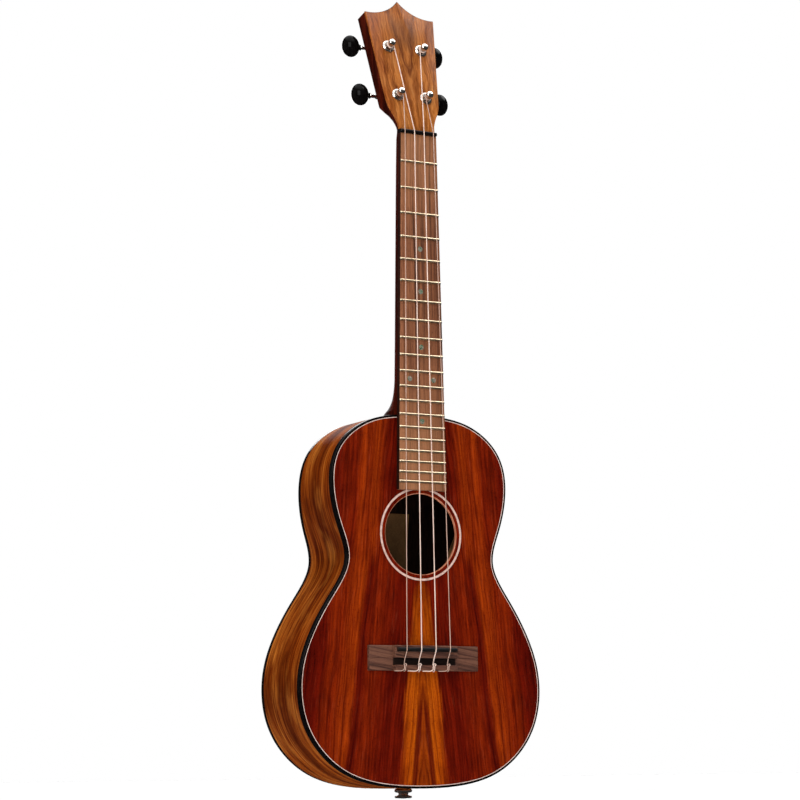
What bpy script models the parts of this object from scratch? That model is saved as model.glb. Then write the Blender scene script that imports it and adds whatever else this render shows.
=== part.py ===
"""Tenor ukulele with a koa body, a slanted crown headstock and four geared tuners.

Frame: +Z runs up the neck, the soundboard faces -Y, +X is the treble side.
The origin is on the neck's centre plane, where the nut meets the fretboard,
level with the soundboard's face. A wall hanger carries the neck there.

The dimensions below are in millimetres. MM turns them into Blender's metres.
"""
import math

import bmesh
import bpy
import numpy as np
from mathutils import Matrix, Vector

MM = 0.001
GAP = 0.3

# Strings and fretboard
SCALE_LENGTH = 431.8
FRET_COUNT = 20
FRETBOARD_THICKNESS = 4.5
FRETBOARD_END = -302.5
NUT_HALF_WIDTH = 17.4
LAST_FRET_HALF_WIDTH = 22.8
STRING_RADII = (0.40, 0.50, 0.55, 0.42)
NUT_STRING_SPACING = 9.2
SADDLE_STRING_SPACING = 13.7
NUT_TOP = -6.1
SADDLE_TOP = -10.2
SADDLE_Z = -434.8
SADDLE_HALF_THICKNESS = 1.7
NUT_BACK = 3.4

# Body: half of the outline from the top centre, round the treble side, to the tail
OUTLINE = (
    (0.0, -239.0), (46.5, -245.0), (76.4, -268.5), (83.5, -299.0), (76.8, -332.6), (70.0, -362.0),
    (88.1, -396.0), (110.0, -440.0), (113.5, -476.0), (102.5, -508.0), (67.8, -537.6), (0.0, -548.0),
)
OUTLINE_STEPS = 4
DEPTH_AT_HEEL = 56.5
DEPTH_AT_TAIL = 70.0
ARCH_TOP = -255.0
ARCH_BOTTOM = -380.0
PLATE = 2.2
SIDE = 2.0
BINDING_WIDTH = 1.4
BINDING_DEPTH = 5.0
PURFLING = (BINDING_WIDTH + GAP, BINDING_WIDTH + GAP + 0.9)
LINING = (SIDE + GAP, SIDE + GAP + 4.7)
LINING_DEPTH = 9.0
BLOCK_HALF_WIDTH = 27.0
NECK_BLOCK_END = -262.0
TAIL_BLOCK_END = -530.0
HOLE_CENTRE = -338.7
HOLE_RADIUS = 33.6
ROSETTE = (37.0, 38.8)
LABEL_HALF = 23.0
ROUND_STEPS = 44

# Bridge
BRIDGE_TOP = -431.3
BRIDGE_BOTTOM = -452.0
BRIDGE_HALF = 51.8
BRIDGE_CENTRE_HALF = 29.5
BRIDGE_WING = 3.0
BRIDGE_CENTRE = 7.2
CHANNEL = (-441.6, -447.4)

# Headstock, on a plane tilted back about the X axis
HEAD_TILT = math.radians(14.7)
HEAD_BASE_Y = -3.0
HEAD_START = 4.3
HEADPLATE = 1.8
HEAD_THICKNESS = 14.0
CROWN_PEAK = 129.7
CROWN_CORNER = (33.7, 115.2)
CROWN_RADIUS = 38.0

# Tuners: a post through the headstock, driven by a worm on the button's shaft
POSTS = {"1": (-1, 13.7, 36.3), "2": (-1, 15.9, 82.8), "3": (1, 15.9, 82.8), "4": (1, 13.7, 36.3)}
WORM_OFFSET = 7.6
WORM_LEVEL = -19.2
GEAR_TEETH = 12
GEAR_PITCH_RADIUS = 5.0
GEAR_HALF_THICKNESS = 1.1
THREAD_PITCH = 2.0 * math.pi * GEAR_PITCH_RADIUS / GEAR_TEETH
WORM_PITCH_RADIUS = WORM_OFFSET - GEAR_PITCH_RADIUS
SHAFT_RADIUS = 1.6
TOOTH_THICKNESS = 1.0
ADDENDUM = 0.7
DEDENDUM = 1.0
THREAD_TURNS = 2.5
BARREL = (3.2, 4.4)
POST_RADIUS = 2.9
POST_WAIST = 2.5
BUTTON_REACH = 25.3
BUTTON = (7.2, 9.9, 7.6)

END_PIN_DEPTH = 35.0
END_PIN_SHANK = 3.0


# ---------------------------------------------------------------- helpers

def clear_scene():
    for item in list(bpy.data.objects):
        bpy.data.objects.remove(item, do_unlink=True)


def material(name, colour, roughness, metallic=0.0):
    """A Principled material, made once and then shared."""
    found = bpy.data.materials.get(name)
    if found:
        return found
    made = bpy.data.materials.new(name)
    made.use_nodes = True
    shader = made.node_tree.nodes["Principled BSDF"]
    shader.inputs["Base Color"].default_value = (*colour, 1.0)
    shader.inputs["Roughness"].default_value = roughness
    shader.inputs["Metallic"].default_value = metallic
    made.diffuse_color = (*colour, 1.0)
    return made


def koa():
    return material("koa", (0.30, 0.09, 0.025), 0.2)


def side_koa():
    return material("side_koa", (0.27, 0.13, 0.05), 0.25)


def mahogany():
    return material("mahogany", (0.16, 0.05, 0.03), 0.35)


def spruce():
    return material("spruce", (0.62, 0.47, 0.30), 0.7)


def rosewood():
    return material("rosewood", (0.17, 0.09, 0.06), 0.5)


def black_plastic():
    return material("black_plastic", (0.012, 0.012, 0.012), 0.2)


def ivory():
    return material("ivory", (0.75, 0.68, 0.62), 0.4)


def nickel():
    return material("nickel", (0.78, 0.76, 0.72), 0.25, 1.0)


def nylon():
    return material("nylon", (0.82, 0.74, 0.68), 0.35)


def add_object(name, bm, surface, placement=None, smooth=None):
    """Turns a bmesh in millimetres into a named object.

    placement is the object's own frame in the world, in millimetres.
    """
    bmesh.ops.recalc_face_normals(bm, faces=bm.faces)
    bmesh.ops.scale(bm, vec=(MM, MM, MM), verts=bm.verts)
    mesh = bpy.data.meshes.new(name)
    bm.to_mesh(mesh)
    bm.free()
    mesh.materials.append(surface)
    if smooth is not None:
        mesh.shade_smooth()
        mesh.set_sharp_from_angle(angle=math.radians(smooth))
    made = bpy.data.objects.new(name, mesh)
    bpy.context.scene.collection.objects.link(made)
    if placement is not None:
        made.matrix_world = Matrix.Translation(placement.translation * MM) @ placement.to_3x3().to_4x4()
    return made


def loft(rings):
    """Joins equal rings of points into a closed skin with a cap at each end."""
    bm = bmesh.new()
    made = [[bm.verts.new(point) for point in ring] for ring in rings]
    for first, second in zip(made, made[1:]):
        count = len(first)
        for i in range(count):
            j = (i + 1) % count
            bm.faces.new((first[i], first[j], second[j], second[i]))
    bm.faces.new(made[0])
    bm.faces.new(made[-1])
    return bm


def hoop(rings):
    """Joins equal rings of points into a closed loop with no caps."""
    bm = bmesh.new()
    made = [[bm.verts.new(point) for point in ring] for ring in rings]
    for first, second in zip(made, made[1:] + made[:1]):
        count = len(first)
        for i in range(count):
            j = (i + 1) % count
            bm.faces.new((first[i], first[j], second[j], second[i]))
    return bm


def box(low, high):
    corners = [(low[0], low[1]), (high[0], low[1]), (high[0], high[1]), (low[0], high[1])]
    return loft([[(x, y, z) for x, y in corners] for z in (low[2], high[2])])


def turned(profile, steps=18):
    """Turns (radius, height) pairs about local Z into a capped solid."""
    angles = [2.0 * math.pi * i / steps for i in range(steps)]
    return loft([[(r * math.cos(a), r * math.sin(a), h) for a in angles] for r, h in profile])


def boolean(target, cutter, operation):
    """Cuts or joins with the exact solver, keeps the result and drops the cutter."""
    modifier = target.modifiers.new("boolean", "BOOLEAN")
    modifier.operation = operation
    modifier.solver = "EXACT"
    modifier.object = cutter
    bpy.context.view_layer.update()
    graph = bpy.context.evaluated_depsgraph_get()
    result = bpy.data.meshes.new_from_object(target.evaluated_get(graph))
    target.modifiers.remove(modifier)
    target.data = result
    target.data.name = target.name
    bpy.data.objects.remove(cutter, do_unlink=True)


def frame_of(origin, x_axis, y_axis, z_axis):
    """A placement whose columns are the three axes, at an origin in millimetres."""
    turn = Matrix((x_axis, y_axis, z_axis)).transposed().to_4x4()
    return Matrix.Translation(origin) @ turn


# ---------------------------------------------------------------- body outline

def spline_through(points, steps):
    """A smooth closed curve through points, with its tangents, as two arrays."""
    points = np.array(points, dtype=float)
    count = len(points)
    chord = np.linalg.norm(np.roll(points, -1, axis=0) - points, axis=1) ** 0.5
    before = np.roll(chord, 1)
    system = np.zeros((count, count))
    known = np.zeros((count, 2))
    for i in range(count):
        behind, ahead = before[i], chord[i]
        system[i, (i - 1) % count] += ahead
        system[i, i] += 2.0 * (behind + ahead)
        system[i, (i + 1) % count] += behind
        back_slope = (points[i] - points[i - 1]) / behind
        next_slope = (points[(i + 1) % count] - points[i]) / ahead
        known[i] = 3.0 * (ahead * back_slope + behind * next_slope)
    slopes = np.linalg.solve(system, known)
    curve, tangents = [], []
    for i in range(count):
        j = (i + 1) % count
        span = chord[i]
        for t in np.arange(steps) / steps:
            a = 2 * t**3 - 3 * t**2 + 1
            b = t**3 - 2 * t**2 + t
            c = -2 * t**3 + 3 * t**2
            d = t**3 - t**2
            curve.append(a * points[i] + b * span * slopes[i] + c * points[j] + d * span * slopes[j])
            rate = (6 * t**2 - 6 * t) * (points[i] - points[j]) / span
            tangents.append(rate + (3 * t**2 - 4 * t + 1) * slopes[i] + (3 * t**2 - 2 * t) * slopes[j])
    return np.array(curve), np.array(tangents)


def body_outline(inset):
    """The treble half of the outline, from the top to the tail, moved inwards."""
    mirrored = [(-x, z) for x, z in reversed(OUTLINE[1:-1])]
    curve, tangents = spline_through(list(OUTLINE) + mirrored, OUTLINE_STEPS)
    half = (len(OUTLINE) - 1) * OUTLINE_STEPS + 1
    curve, tangents = curve[:half], tangents[:half]
    outward = np.stack([-tangents[:, 1], tangents[:, 0]], axis=1)
    outward /= np.linalg.norm(outward, axis=1)[:, None]
    moved = curve - outward * inset
    moved[0, 0] = 0.0
    moved[-1, 0] = 0.0
    return [(float(x), float(z)) for x, z in moved]


def whole_outline(inset):
    half = body_outline(inset)
    return half + [(-x, z) for x, z in reversed(half[1:-1])]


def back_depth(z):
    """The back arches from the shallow heel down to a flat lower half."""
    t = min(max((ARCH_TOP - z) / (ARCH_TOP - ARCH_BOTTOM), 0.0), 1.0)
    return DEPTH_AT_HEEL + (DEPTH_AT_TAIL - DEPTH_AT_HEEL) * 0.5 * (1.0 - math.cos(math.pi * t))


def prism(points, front, back):
    """A solid between two flat faces that look along Y."""
    return loft([[(x, y, z) for x, z in points] for y in (front, back)])


def band(outer, inner, front, back, closed=True):
    """A strip that follows the outline. front and back give Y from a height z."""
    rings = []
    for (ox, oz), (ix, iz) in zip(outer, inner):
        rings.append([(ox, front(oz), oz), (ox, back(oz), oz), (ix, back(iz), iz), (ix, front(iz), iz)])
    return hoop(rings) if closed else loft(rings)


def ruled_plate(half, front, back):
    """A sheet ruled along X, symmetric about the centre plane, bent only along Z."""
    bm = bmesh.new()
    levels = []
    for x, z in half:
        xs = (-x, x) if x > 0.0 else (0.0,)
        levels.append([[bm.verts.new((side, depth(z), z)) for side in xs] for depth in (front, back)])
    for upper, lower in zip(levels, levels[1:]):
        for face in range(2):
            bm.faces.new(upper[face] + lower[face][::-1])
        for edge in (0, -1):
            bm.faces.new((upper[0][edge], upper[1][edge], lower[1][edge], lower[0][edge]))
    for end in (levels[0], levels[-1]):
        if len(end[0]) == 2:
            bm.faces.new((end[0][0], end[0][1], end[1][1], end[1][0]))
    return bm


def hole_cutter(name, radius, front, back, steps=ROUND_STEPS):
    angles = [2.0 * math.pi * i / steps for i in range(steps)]
    circle = [(radius * math.cos(a), HOLE_CENTRE + radius * math.sin(a)) for a in angles]
    return add_object(name, prism(circle, front, back), koa())


# ---------------------------------------------------------------- body

def build_plates():
    board = add_object("soundboard", prism(whole_outline(PURFLING[1] + GAP), 0.0, PLATE), koa())
    boolean(board, hole_cutter("hole", HOLE_RADIUS, -5.0, PLATE + 5.0), "DIFFERENCE")
    groove_depth = 0.9
    groove = add_object("groove", rosette_solid(ROSETTE[0] - GAP, ROSETTE[1] + GAP, -5.0, groove_depth), koa())
    boolean(board, groove, "DIFFERENCE")
    ring = rosette_solid(ROSETTE[0], ROSETTE[1], 0.0, groove_depth - GAP)
    add_object("rosette_ring", ring, ivory(), smooth=30)
    inner = body_outline(BINDING_WIDTH + GAP)
    back = ruled_plate(inner, lambda z: back_depth(z) - PLATE, back_depth)
    add_object("back_plate", back, side_koa())


def rosette_solid(inner, outer, front, back, steps=ROUND_STEPS):
    rings = []
    for i in range(steps):
        a = 2.0 * math.pi * i / steps
        inside = (inner * math.cos(a), HOLE_CENTRE + inner * math.sin(a))
        outside = (outer * math.cos(a), HOLE_CENTRE + outer * math.sin(a))
        rings.append([(x, y, z) for (x, z), y in
                      ((inside, front), (inside, back), (outside, back), (outside, front))])
    return hoop(rings)


def build_sides():
    margin = BINDING_DEPTH + GAP
    seam = GAP / 2.0
    outer, inner = body_outline(0.0), body_outline(SIDE)
    for name, sign in (("side_bass", -1.0), ("side_treble", 1.0)):
        halves = [[(sign * max(x, seam), z) for x, z in line] for line in (outer, inner)]
        strip = band(*halves, lambda z: margin, lambda z: back_depth(z) - margin, closed=False)
        side = add_object(name, strip, side_koa(), smooth=30)
        boolean(side, end_pin_cutter(), "DIFFERENCE")


def end_pin_cutter():
    cutter = turned([(END_PIN_SHANK + GAP, -20.0), (END_PIN_SHANK + GAP, 40.0)], 12)
    origin = Vector((0.0, END_PIN_DEPTH, OUTLINE[-1][1]))
    return add_object("pin_cutter", cutter, nickel(), Matrix.Translation(origin))


def build_trim():
    rim, binding_inner = whole_outline(0.0), whole_outline(BINDING_WIDTH)
    front = band(rim, binding_inner, lambda z: 0.0, lambda z: BINDING_DEPTH)
    add_object("top_binding", front, black_plastic(), smooth=30)
    back = band(rim, binding_inner, lambda z: back_depth(z) - BINDING_DEPTH, back_depth)
    add_object("back_binding", back, black_plastic(), smooth=30)
    lines = [whole_outline(inset) for inset in PURFLING]
    purfling_depth = 1.5
    add_object("top_purfling", band(*lines, lambda z: 0.0, lambda z: purfling_depth), ivory(), smooth=30)


def build_linings():
    """Each lining is an open loop that starts and ends beside the neck block."""
    near = PLATE + GAP
    far = near + LINING_DEPTH
    lines = [whole_outline(inset) for inset in LINING]
    kept = [i for i, (x, z) in enumerate(lines[1]) if abs(x) > BLOCK_HALF_WIDTH + GAP or z < NECK_BLOCK_END]
    outer, inner = [[line[i] for i in kept] for line in lines]
    front = band(outer, inner, lambda z: near, lambda z: far, closed=False)
    add_object("top_lining", front, spruce(), smooth=30)
    back = band(outer, inner, lambda z: back_depth(z) - far, lambda z: back_depth(z) - near, closed=False)
    add_object("back_lining", back, spruce(), smooth=30)


def build_blocks():
    near = PLATE + GAP
    inner = whole_outline(LINING[0])
    half = BLOCK_HALF_WIDTH - 1.0
    top = sorted(p for p in inner if abs(p[0]) < half and p[1] > NECK_BLOCK_END)
    edge = float(np.interp(half, *zip(*sorted(p for p in inner if p[1] > NECK_BLOCK_END))))
    block = [(-half, NECK_BLOCK_END), (-half, edge)] + top + [(half, edge), (half, NECK_BLOCK_END)]
    add_object("neck_block", prism(block, near, DEPTH_AT_HEEL - near), mahogany())
    shallow = near + LINING_DEPTH + GAP
    solids = []
    for inset, front in ((LINING[0], shallow), (LINING[1] + GAP, near)):
        line = [p for p in whole_outline(inset) if abs(p[0]) < BLOCK_HALF_WIDTH and p[1] < TAIL_BLOCK_END]
        line.sort()
        shape = [(line[0][0], TAIL_BLOCK_END)] + line + [(line[-1][0], TAIL_BLOCK_END)]
        solids.append(add_object("tail_block", prism(shape, front, DEPTH_AT_TAIL - front), mahogany()))
    tail_block, ends = solids
    boolean(tail_block, ends, "UNION")
    boolean(tail_block, end_pin_cutter(), "DIFFERENCE")


def build_braces():
    """Bars glued across the two plates, clear of the linings."""
    near = PLATE + GAP
    for name, z, half in (("brace_upper", -289.0, 73.0), ("brace_lower", -386.0, 71.0)):
        add_object(name, box((-half, near, z - 3.0), (half, near + 7.5, z + 3.0)), spruce())
    add_object("bridge_plate", box((-60.0, near, -466.0), (60.0, near + 2.0, -424.0)), mahogany())
    inside = DEPTH_AT_TAIL - near
    add_object("back_brace", box((-84.0, inside - 8.0, -413.0), (84.0, inside, -407.0)), spruce())
    heights = np.linspace(HOLE_CENTRE + LABEL_HALF, HOLE_CENTRE - LABEL_HALF, 9)
    outline = [(LABEL_HALF, float(z)) for z in heights]
    clear = PLATE + 0.4
    label = ruled_plate(outline, lambda z: back_depth(z) - clear - 0.4, lambda z: back_depth(z) - clear)
    add_object("label", label, material("paper", (0.55, 0.50, 0.42), 0.9))


def build_end_pin():
    """A spool-shaped strap pin whose shank goes through the sides into the tail block."""
    profile = [(END_PIN_SHANK, 14.0), (END_PIN_SHANK, -GAP), (6.6, -GAP), (7.3, -1.2), (7.3, -2.6), (6.2, -3.2),
               (4.0, -4.0), (4.0, -5.0), (6.0, -5.9), (7.2, -6.4), (7.2, -7.5), (6.0, -8.1), (2.5, -8.3)]
    origin = Vector((0.0, END_PIN_DEPTH, OUTLINE[-1][1]))
    add_object("end_pin", turned(profile), nickel(), Matrix.Translation(origin), smooth=35)


# ---------------------------------------------------------------- headstock frame

HEAD_UP = Vector((0.0, math.sin(HEAD_TILT), math.cos(HEAD_TILT)))
HEAD_OUT = Vector((0.0, -math.cos(HEAD_TILT), math.sin(HEAD_TILT)))
HEAD_FRAME = frame_of(Vector((0.0, HEAD_BASE_Y, 0.0)), Vector((1.0, 0.0, 0.0)), HEAD_UP, HEAD_OUT)


def head_point(x, along, above):
    """World point, in millimetres, from a place on the headstock's face."""
    return HEAD_FRAME @ Vector((x, along, above))


def head_outline():
    """The crown: a centre peak and two corners joined by hollow arcs, on flared sides."""
    low = (17.3, HEAD_START)
    flare = [(18.0, 10.0), (20.4, 16.8), (23.4, 23.0), (25.2, 28.5), (25.9, 33.5)]
    centre_x = CROWN_CORNER[0] - 3.7
    centre_s = CROWN_CORNER[1] + CROWN_RADIUS - 0.2
    arc = []
    steps = 8
    for i in range(1, steps):
        x = CROWN_CORNER[0] * (1.0 - i / steps)
        arc.append((x, centre_s - math.sqrt(CROWN_RADIUS**2 - (centre_x - x) ** 2)))
    right = [low] + flare + [CROWN_CORNER] + arc
    left = [(-x, s) for x, s in reversed(right)]
    return right + [(0.0, CROWN_PEAK)] + left


def head_slab(front, back):
    return loft([[(x, s, level) for x, s in head_outline()] for level in (front, back)])


# ---------------------------------------------------------------- neck

NECK_STATIONS = (
    # height, front, half width, depth, squareness of the section
    (14.0, 4.6, 13.8, 5.5, 2.2),
    (3.5, 1.0, 16.4, 11.3, 2.2),
    (3.4, 0.0, 16.6, 12.3, 2.2),
    (-4.0, 0.0, 17.2, 13.6, 2.2),
    (-30.0, 0.0, 17.8, 14.2, 2.2),
    (-200.0, 0.0, 20.9, 16.8, 2.2),
    (-212.0, 0.0, 21.2, 18.2, 2.1),
    (-220.0, 0.0, 21.6, 21.5, 2.0),
    (-226.0, 0.0, 22.0, 26.5, 1.9),
    (-230.0, 0.0, 22.6, 33.0, 1.8),
    (-233.0, 0.0, 23.2, 41.0, 1.7),
    (-235.0, 0.0, 23.8, 48.5, 1.65),
    (-236.5, 0.0, 24.2, 52.0, 1.6),
    (-246.0, 0.0, 24.4, 53.0, 1.6),
)
SECTION_STEPS = 18

# The throat rounds the headstock's back where it runs into the neck. Above it the sections are
# larger than the headstock, so they leave it square.
THROAT = (
    # along the headstock, half width, depth, squareness of the section
    (3.0, 17.3, 11.6, 1.9),
    (9.0, 17.9, 12.0, 1.9),
    (16.8, 20.7, 12.4, 2.3),
    (23.0, 23.7, 13.2, 3.4),
    (28.5, 25.5, 14.0, 7.0),
    (34.0, 27.0, 16.0, 14.0),
    (38.0, 60.0, 30.0, 14.0),
    (140.0, 60.0, 30.0, 14.0),
)


def neck_section(z, front, half, depth, power):
    """A flat front with a rounded back, as a superellipse half."""
    ring = []
    for i in range(SECTION_STEPS + 1):
        a = math.pi * i / SECTION_STEPS
        x = half * math.copysign(abs(math.cos(a)) ** (2.0 / power), math.cos(a))
        ring.append((x, front + depth * math.sin(a) ** (2.0 / power), z))
    return ring


def build_throat():
    """Sections in the headstock's own frame: straight walls in front, a rounded back."""
    front = 5.0
    start = -HEADPLATE - GAP
    rings = []
    for along, half, depth, power in THROAT:
        ring = [(half, along, front)]
        for x, down, _ in neck_section(0.0, 0.0, half, depth, power):
            ring.append((x, along, start - down))
        ring.append((-half, along, front))
        rings.append(ring)
    return loft(rings)


def build_neck():
    neck = add_object("neck", loft([neck_section(*s) for s in NECK_STATIONS]), mahogany())
    slab = add_object("slab", head_slab(-HEADPLATE - GAP, -HEAD_THICKNESS), mahogany(), HEAD_FRAME)
    boolean(slab, add_object("throat", build_throat(), mahogany(), HEAD_FRAME), "INTERSECT")
    boolean(neck, slab, "UNION")
    body = add_object("body", prism(whole_outline(-GAP), -20.0, 90.0), mahogany())
    boolean(neck, body, "DIFFERENCE")
    plate = add_object("headplate", head_slab(0.0, -HEADPLATE), koa(), HEAD_FRAME)
    for target in (neck, plate):
        for side, x, along in POSTS.values():
            drill = turned([(BARREL[1] + GAP, -30.0), (BARREL[1] + GAP, 10.0)], 24)
            place = HEAD_FRAME @ Matrix.Translation((side * x, along, 0.0))
            boolean(target, add_object("drill", drill, nickel(), place), "DIFFERENCE")
    neck.data.shade_smooth()
    neck.data.set_sharp_from_angle(angle=math.radians(35))


# ---------------------------------------------------------------- fretboard

def fretboard_half_width(z):
    last = fret_height(FRET_COUNT)
    return NUT_HALF_WIDTH + (LAST_FRET_HALF_WIDTH - NUT_HALF_WIDTH) * z / last


def fret_height(number):
    """Distance of a fret below the nut, by the equal-tempered rule."""
    return -SCALE_LENGTH * (1.0 - 2.0 ** (-number / 12.0))


def build_fretboard():
    edge = 0.5
    rings = []
    for z in (-0.01, FRETBOARD_END):
        half = fretboard_half_width(z)
        face, under = -FRETBOARD_THICKNESS, -GAP
        rings.append([(-half, under, z), (half, under, z), (half, face + edge, z), (half - edge, face, z),
                      (-half + edge, face, z), (-half, face + edge, z)])
    add_object("fretboard", loft(rings), rosewood())
    for number in range(1, FRET_COUNT + 1):
        build_fret(number)
    nut = [(NUT_TOP, 1.2), (NUT_TOP + 0.6, GAP), (-GAP, GAP), (-GAP, NUT_BACK), (NUT_TOP + 1.2, NUT_BACK),
           (NUT_TOP, NUT_BACK - 0.9)]
    rings = [[(x, y, z) for y, z in nut] for x in (-NUT_HALF_WIDTH, NUT_HALF_WIDTH)]
    add_object("nut", loft(rings), black_plastic())


def build_fret(number):
    """A half-round bar across the fretboard, with its ends sloped in."""
    z = fret_height(number)
    half = fretboard_half_width(z) - 0.3
    crown = 1.0
    radius = 1.1
    base = -FRETBOARD_THICKNESS - 0.25
    rings = []
    for end in (-1.0, 1.0):
        ring = []
        for i in range(7):
            a = math.pi * i / 6.0
            rise = crown * math.sin(a)
            ring.append((end * (half - 0.5 * rise), base - rise, z + radius * math.cos(a)))
        rings.append(ring)
    add_object(f"fret_{number:02d}", loft(rings), nickel(), smooth=50)


# ---------------------------------------------------------------- bridge

def build_bridge():
    """Low wings, a raised centre with the saddle's slot, a channel and a tie block."""
    wing = box((-BRIDGE_HALF, -BRIDGE_WING, BRIDGE_BOTTOM), (BRIDGE_HALF, -GAP, BRIDGE_TOP))
    bridge = add_object("bridge", wing, rosewood())
    slot_top = SADDLE_Z + SADDLE_HALF_THICKNESS + GAP
    slot_bottom = SADDLE_Z - SADDLE_HALF_THICKNESS - GAP
    slot_floor, channel_floor = -3.4, -2.6
    section = [
        (-1.0, BRIDGE_TOP - 0.2), (-BRIDGE_CENTRE + 1.2, BRIDGE_TOP - 0.2), (-BRIDGE_CENTRE, slot_top + 0.1),
        (-BRIDGE_CENTRE, slot_top), (slot_floor, slot_top), (slot_floor, slot_bottom),
        (-BRIDGE_CENTRE, slot_bottom), (-BRIDGE_CENTRE, CHANNEL[0] + 1.0), (-BRIDGE_CENTRE + 0.8, CHANNEL[0]),
        (channel_floor, CHANNEL[0]), (channel_floor, CHANNEL[1]), (-BRIDGE_CENTRE + 0.5, CHANNEL[1]),
        (-BRIDGE_CENTRE, CHANNEL[1] - 0.5), (-BRIDGE_CENTRE, BRIDGE_BOTTOM + 0.9),
        (-BRIDGE_CENTRE + 0.7, BRIDGE_BOTTOM + 0.2), (-1.0, BRIDGE_BOTTOM + 0.2),
    ]
    rings = [[(x, y, z) for y, z in section] for x in (-BRIDGE_CENTRE_HALF, BRIDGE_CENTRE_HALF)]
    boolean(bridge, add_object("centre", loft(rings), rosewood()), "UNION")
    for i in range(4):
        origin = Vector((saddle_x(i), TIE_HOLE_Y, BRIDGE_BOTTOM - 3.0))
        drill = turned([(TIE_HOLE_RADIUS, 0.0), (TIE_HOLE_RADIUS, 8.5)], 12)
        boolean(bridge, add_object("drill", drill, rosewood(), Matrix.Translation(origin)), "DIFFERENCE")
    low, high = SADDLE_Z - SADDLE_HALF_THICKNESS, SADDLE_Z + SADDLE_HALF_THICKNESS
    section = [(slot_floor - GAP, low), (SADDLE_TOP + 0.8, low), (SADDLE_TOP, low + 0.8), (SADDLE_TOP, high - 0.8),
               (SADDLE_TOP + 0.8, high), (slot_floor - GAP, high)]
    half = BRIDGE_CENTRE_HALF - 1.5
    add_object("saddle", loft([[(x, y, z) for y, z in section] for x in (-half, half)]), black_plastic())


def saddle_x(index):
    return (index - 1.5) * SADDLE_STRING_SPACING


def nut_x(index):
    return (index - 1.5) * NUT_STRING_SPACING


TIE_HOLE_Y = -4.6
TIE_HOLE_RADIUS = 1.1


# ---------------------------------------------------------------- strings

def string_route(index):
    """From the tie round the tie block, over saddle and nut, to two turns round its post."""
    radius = STRING_RADII[index]
    x = saddle_x(index)
    over_block = -BRIDGE_CENTRE - GAP - radius
    rear = BRIDGE_BOTTOM - GAP - radius
    tail = x - 2.0 * radius - 0.8
    route = [
        (tail, over_block, CHANNEL[1] + 1.5), (tail, over_block, CHANNEL[1] - 1.0),
        (tail + 0.3, over_block, BRIDGE_BOTTOM + 0.9), (tail + 0.8, over_block + 0.6, rear + 0.1),
        (tail + 1.2, -5.6, rear - 0.3), (x - 0.2, TIE_HOLE_Y - 0.2, rear - 0.2),
        (x, TIE_HOLE_Y, BRIDGE_BOTTOM + 0.6), (x, TIE_HOLE_Y, CHANNEL[1] - 0.6),
        (x, TIE_HOLE_Y - 0.3, CHANNEL[1] + 0.8), (x, -BRIDGE_CENTRE - 0.6 - radius, CHANNEL[0] + 0.4),
        (x, -BRIDGE_CENTRE - 0.9 - radius, CHANNEL[0] + 1.6),
        (x, SADDLE_TOP - GAP - radius + 0.5, SADDLE_Z - 1.5), (x, SADDLE_TOP - GAP - radius, SADDLE_Z - 0.4),
        (x, SADDLE_TOP - GAP - radius, SADDLE_Z + 0.6),
        (nut_x(index), NUT_TOP - GAP - radius, 1.0), (nut_x(index), NUT_TOP - GAP - radius, NUT_BACK - 0.9),
    ]
    side, post_x, along = POSTS[str(index + 1)]
    wrap = POST_WAIST + GAP + radius
    turns, steps, top, drop = 2, 10, 5.2, 1.25
    for i in range(turns * steps + 1):
        turn = i / steps
        # the string meets the post on its inner side and winds away from the nut
        a = 2.0 * math.pi * turn
        spot = head_point(side * (post_x - wrap * math.cos(a)), along + wrap * math.sin(a), top - drop * turn)
        route.append(tuple(spot))
    return route


def build_strings():
    for index, radius in enumerate(STRING_RADII):
        route = string_route(index)
        curve = bpy.data.curves.new(f"string_{index + 1}", "CURVE")
        curve.dimensions = "3D"
        curve.bevel_depth = radius * MM
        curve.bevel_resolution = 2
        curve.use_fill_caps = True
        spline = curve.splines.new("POLY")
        spline.points.add(len(route) - 1)
        for point, spot in zip(spline.points, route):
            point.co = (spot[0] * MM, spot[1] * MM, spot[2] * MM, 1.0)
        curve.materials.append(nylon())
        made = bpy.data.objects.new(f"string_{index + 1}", curve)
        bpy.context.scene.collection.objects.link(made)


# ---------------------------------------------------------------- tuners

def gear_outline():
    """A spur gear with a tooth gap on its +Y side, where the worm's thread sits."""
    points = []
    root, tip = GEAR_PITCH_RADIUS - DEDENDUM, GEAR_PITCH_RADIUS + ADDENDUM
    step = 2.0 * math.pi / GEAR_TEETH
    at_root = 0.5 * (TOOTH_THICKNESS + 0.55) / root
    at_tip = 0.5 * (TOOTH_THICKNESS - 0.40) / tip
    for tooth in range(GEAR_TEETH):
        middle = math.pi / 2.0 + (tooth + 0.5) * step
        for radius, angle in ((root, -at_root), (tip, -at_tip), (tip, at_tip), (root, at_root)):
            a = middle + angle
            points.append((radius * math.cos(a), radius * math.sin(a)))
    return points


def build_post(name, place):
    """The string post with its gear. Local Z is the joint's axis."""
    level = WORM_LEVEL
    profile = [(2.0, level - 2.6), (POST_RADIUS, level - 2.2), (POST_RADIUS, 2.0), (POST_WAIST, 2.3),
               (POST_WAIST, 6.0), (3.1, 6.4), (3.1, 8.2), (2.4, 9.0), (1.0, 9.3)]
    post = add_object(name, turned(profile, 20), nickel(), place, smooth=35)
    gear = [[(x, y, level + h) for x, y in gear_outline()] for h in (-GEAR_HALF_THICKNESS, GEAR_HALF_THICKNESS)]
    boolean(post, add_object("gear", loft(gear), nickel(), place), "UNION")


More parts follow.
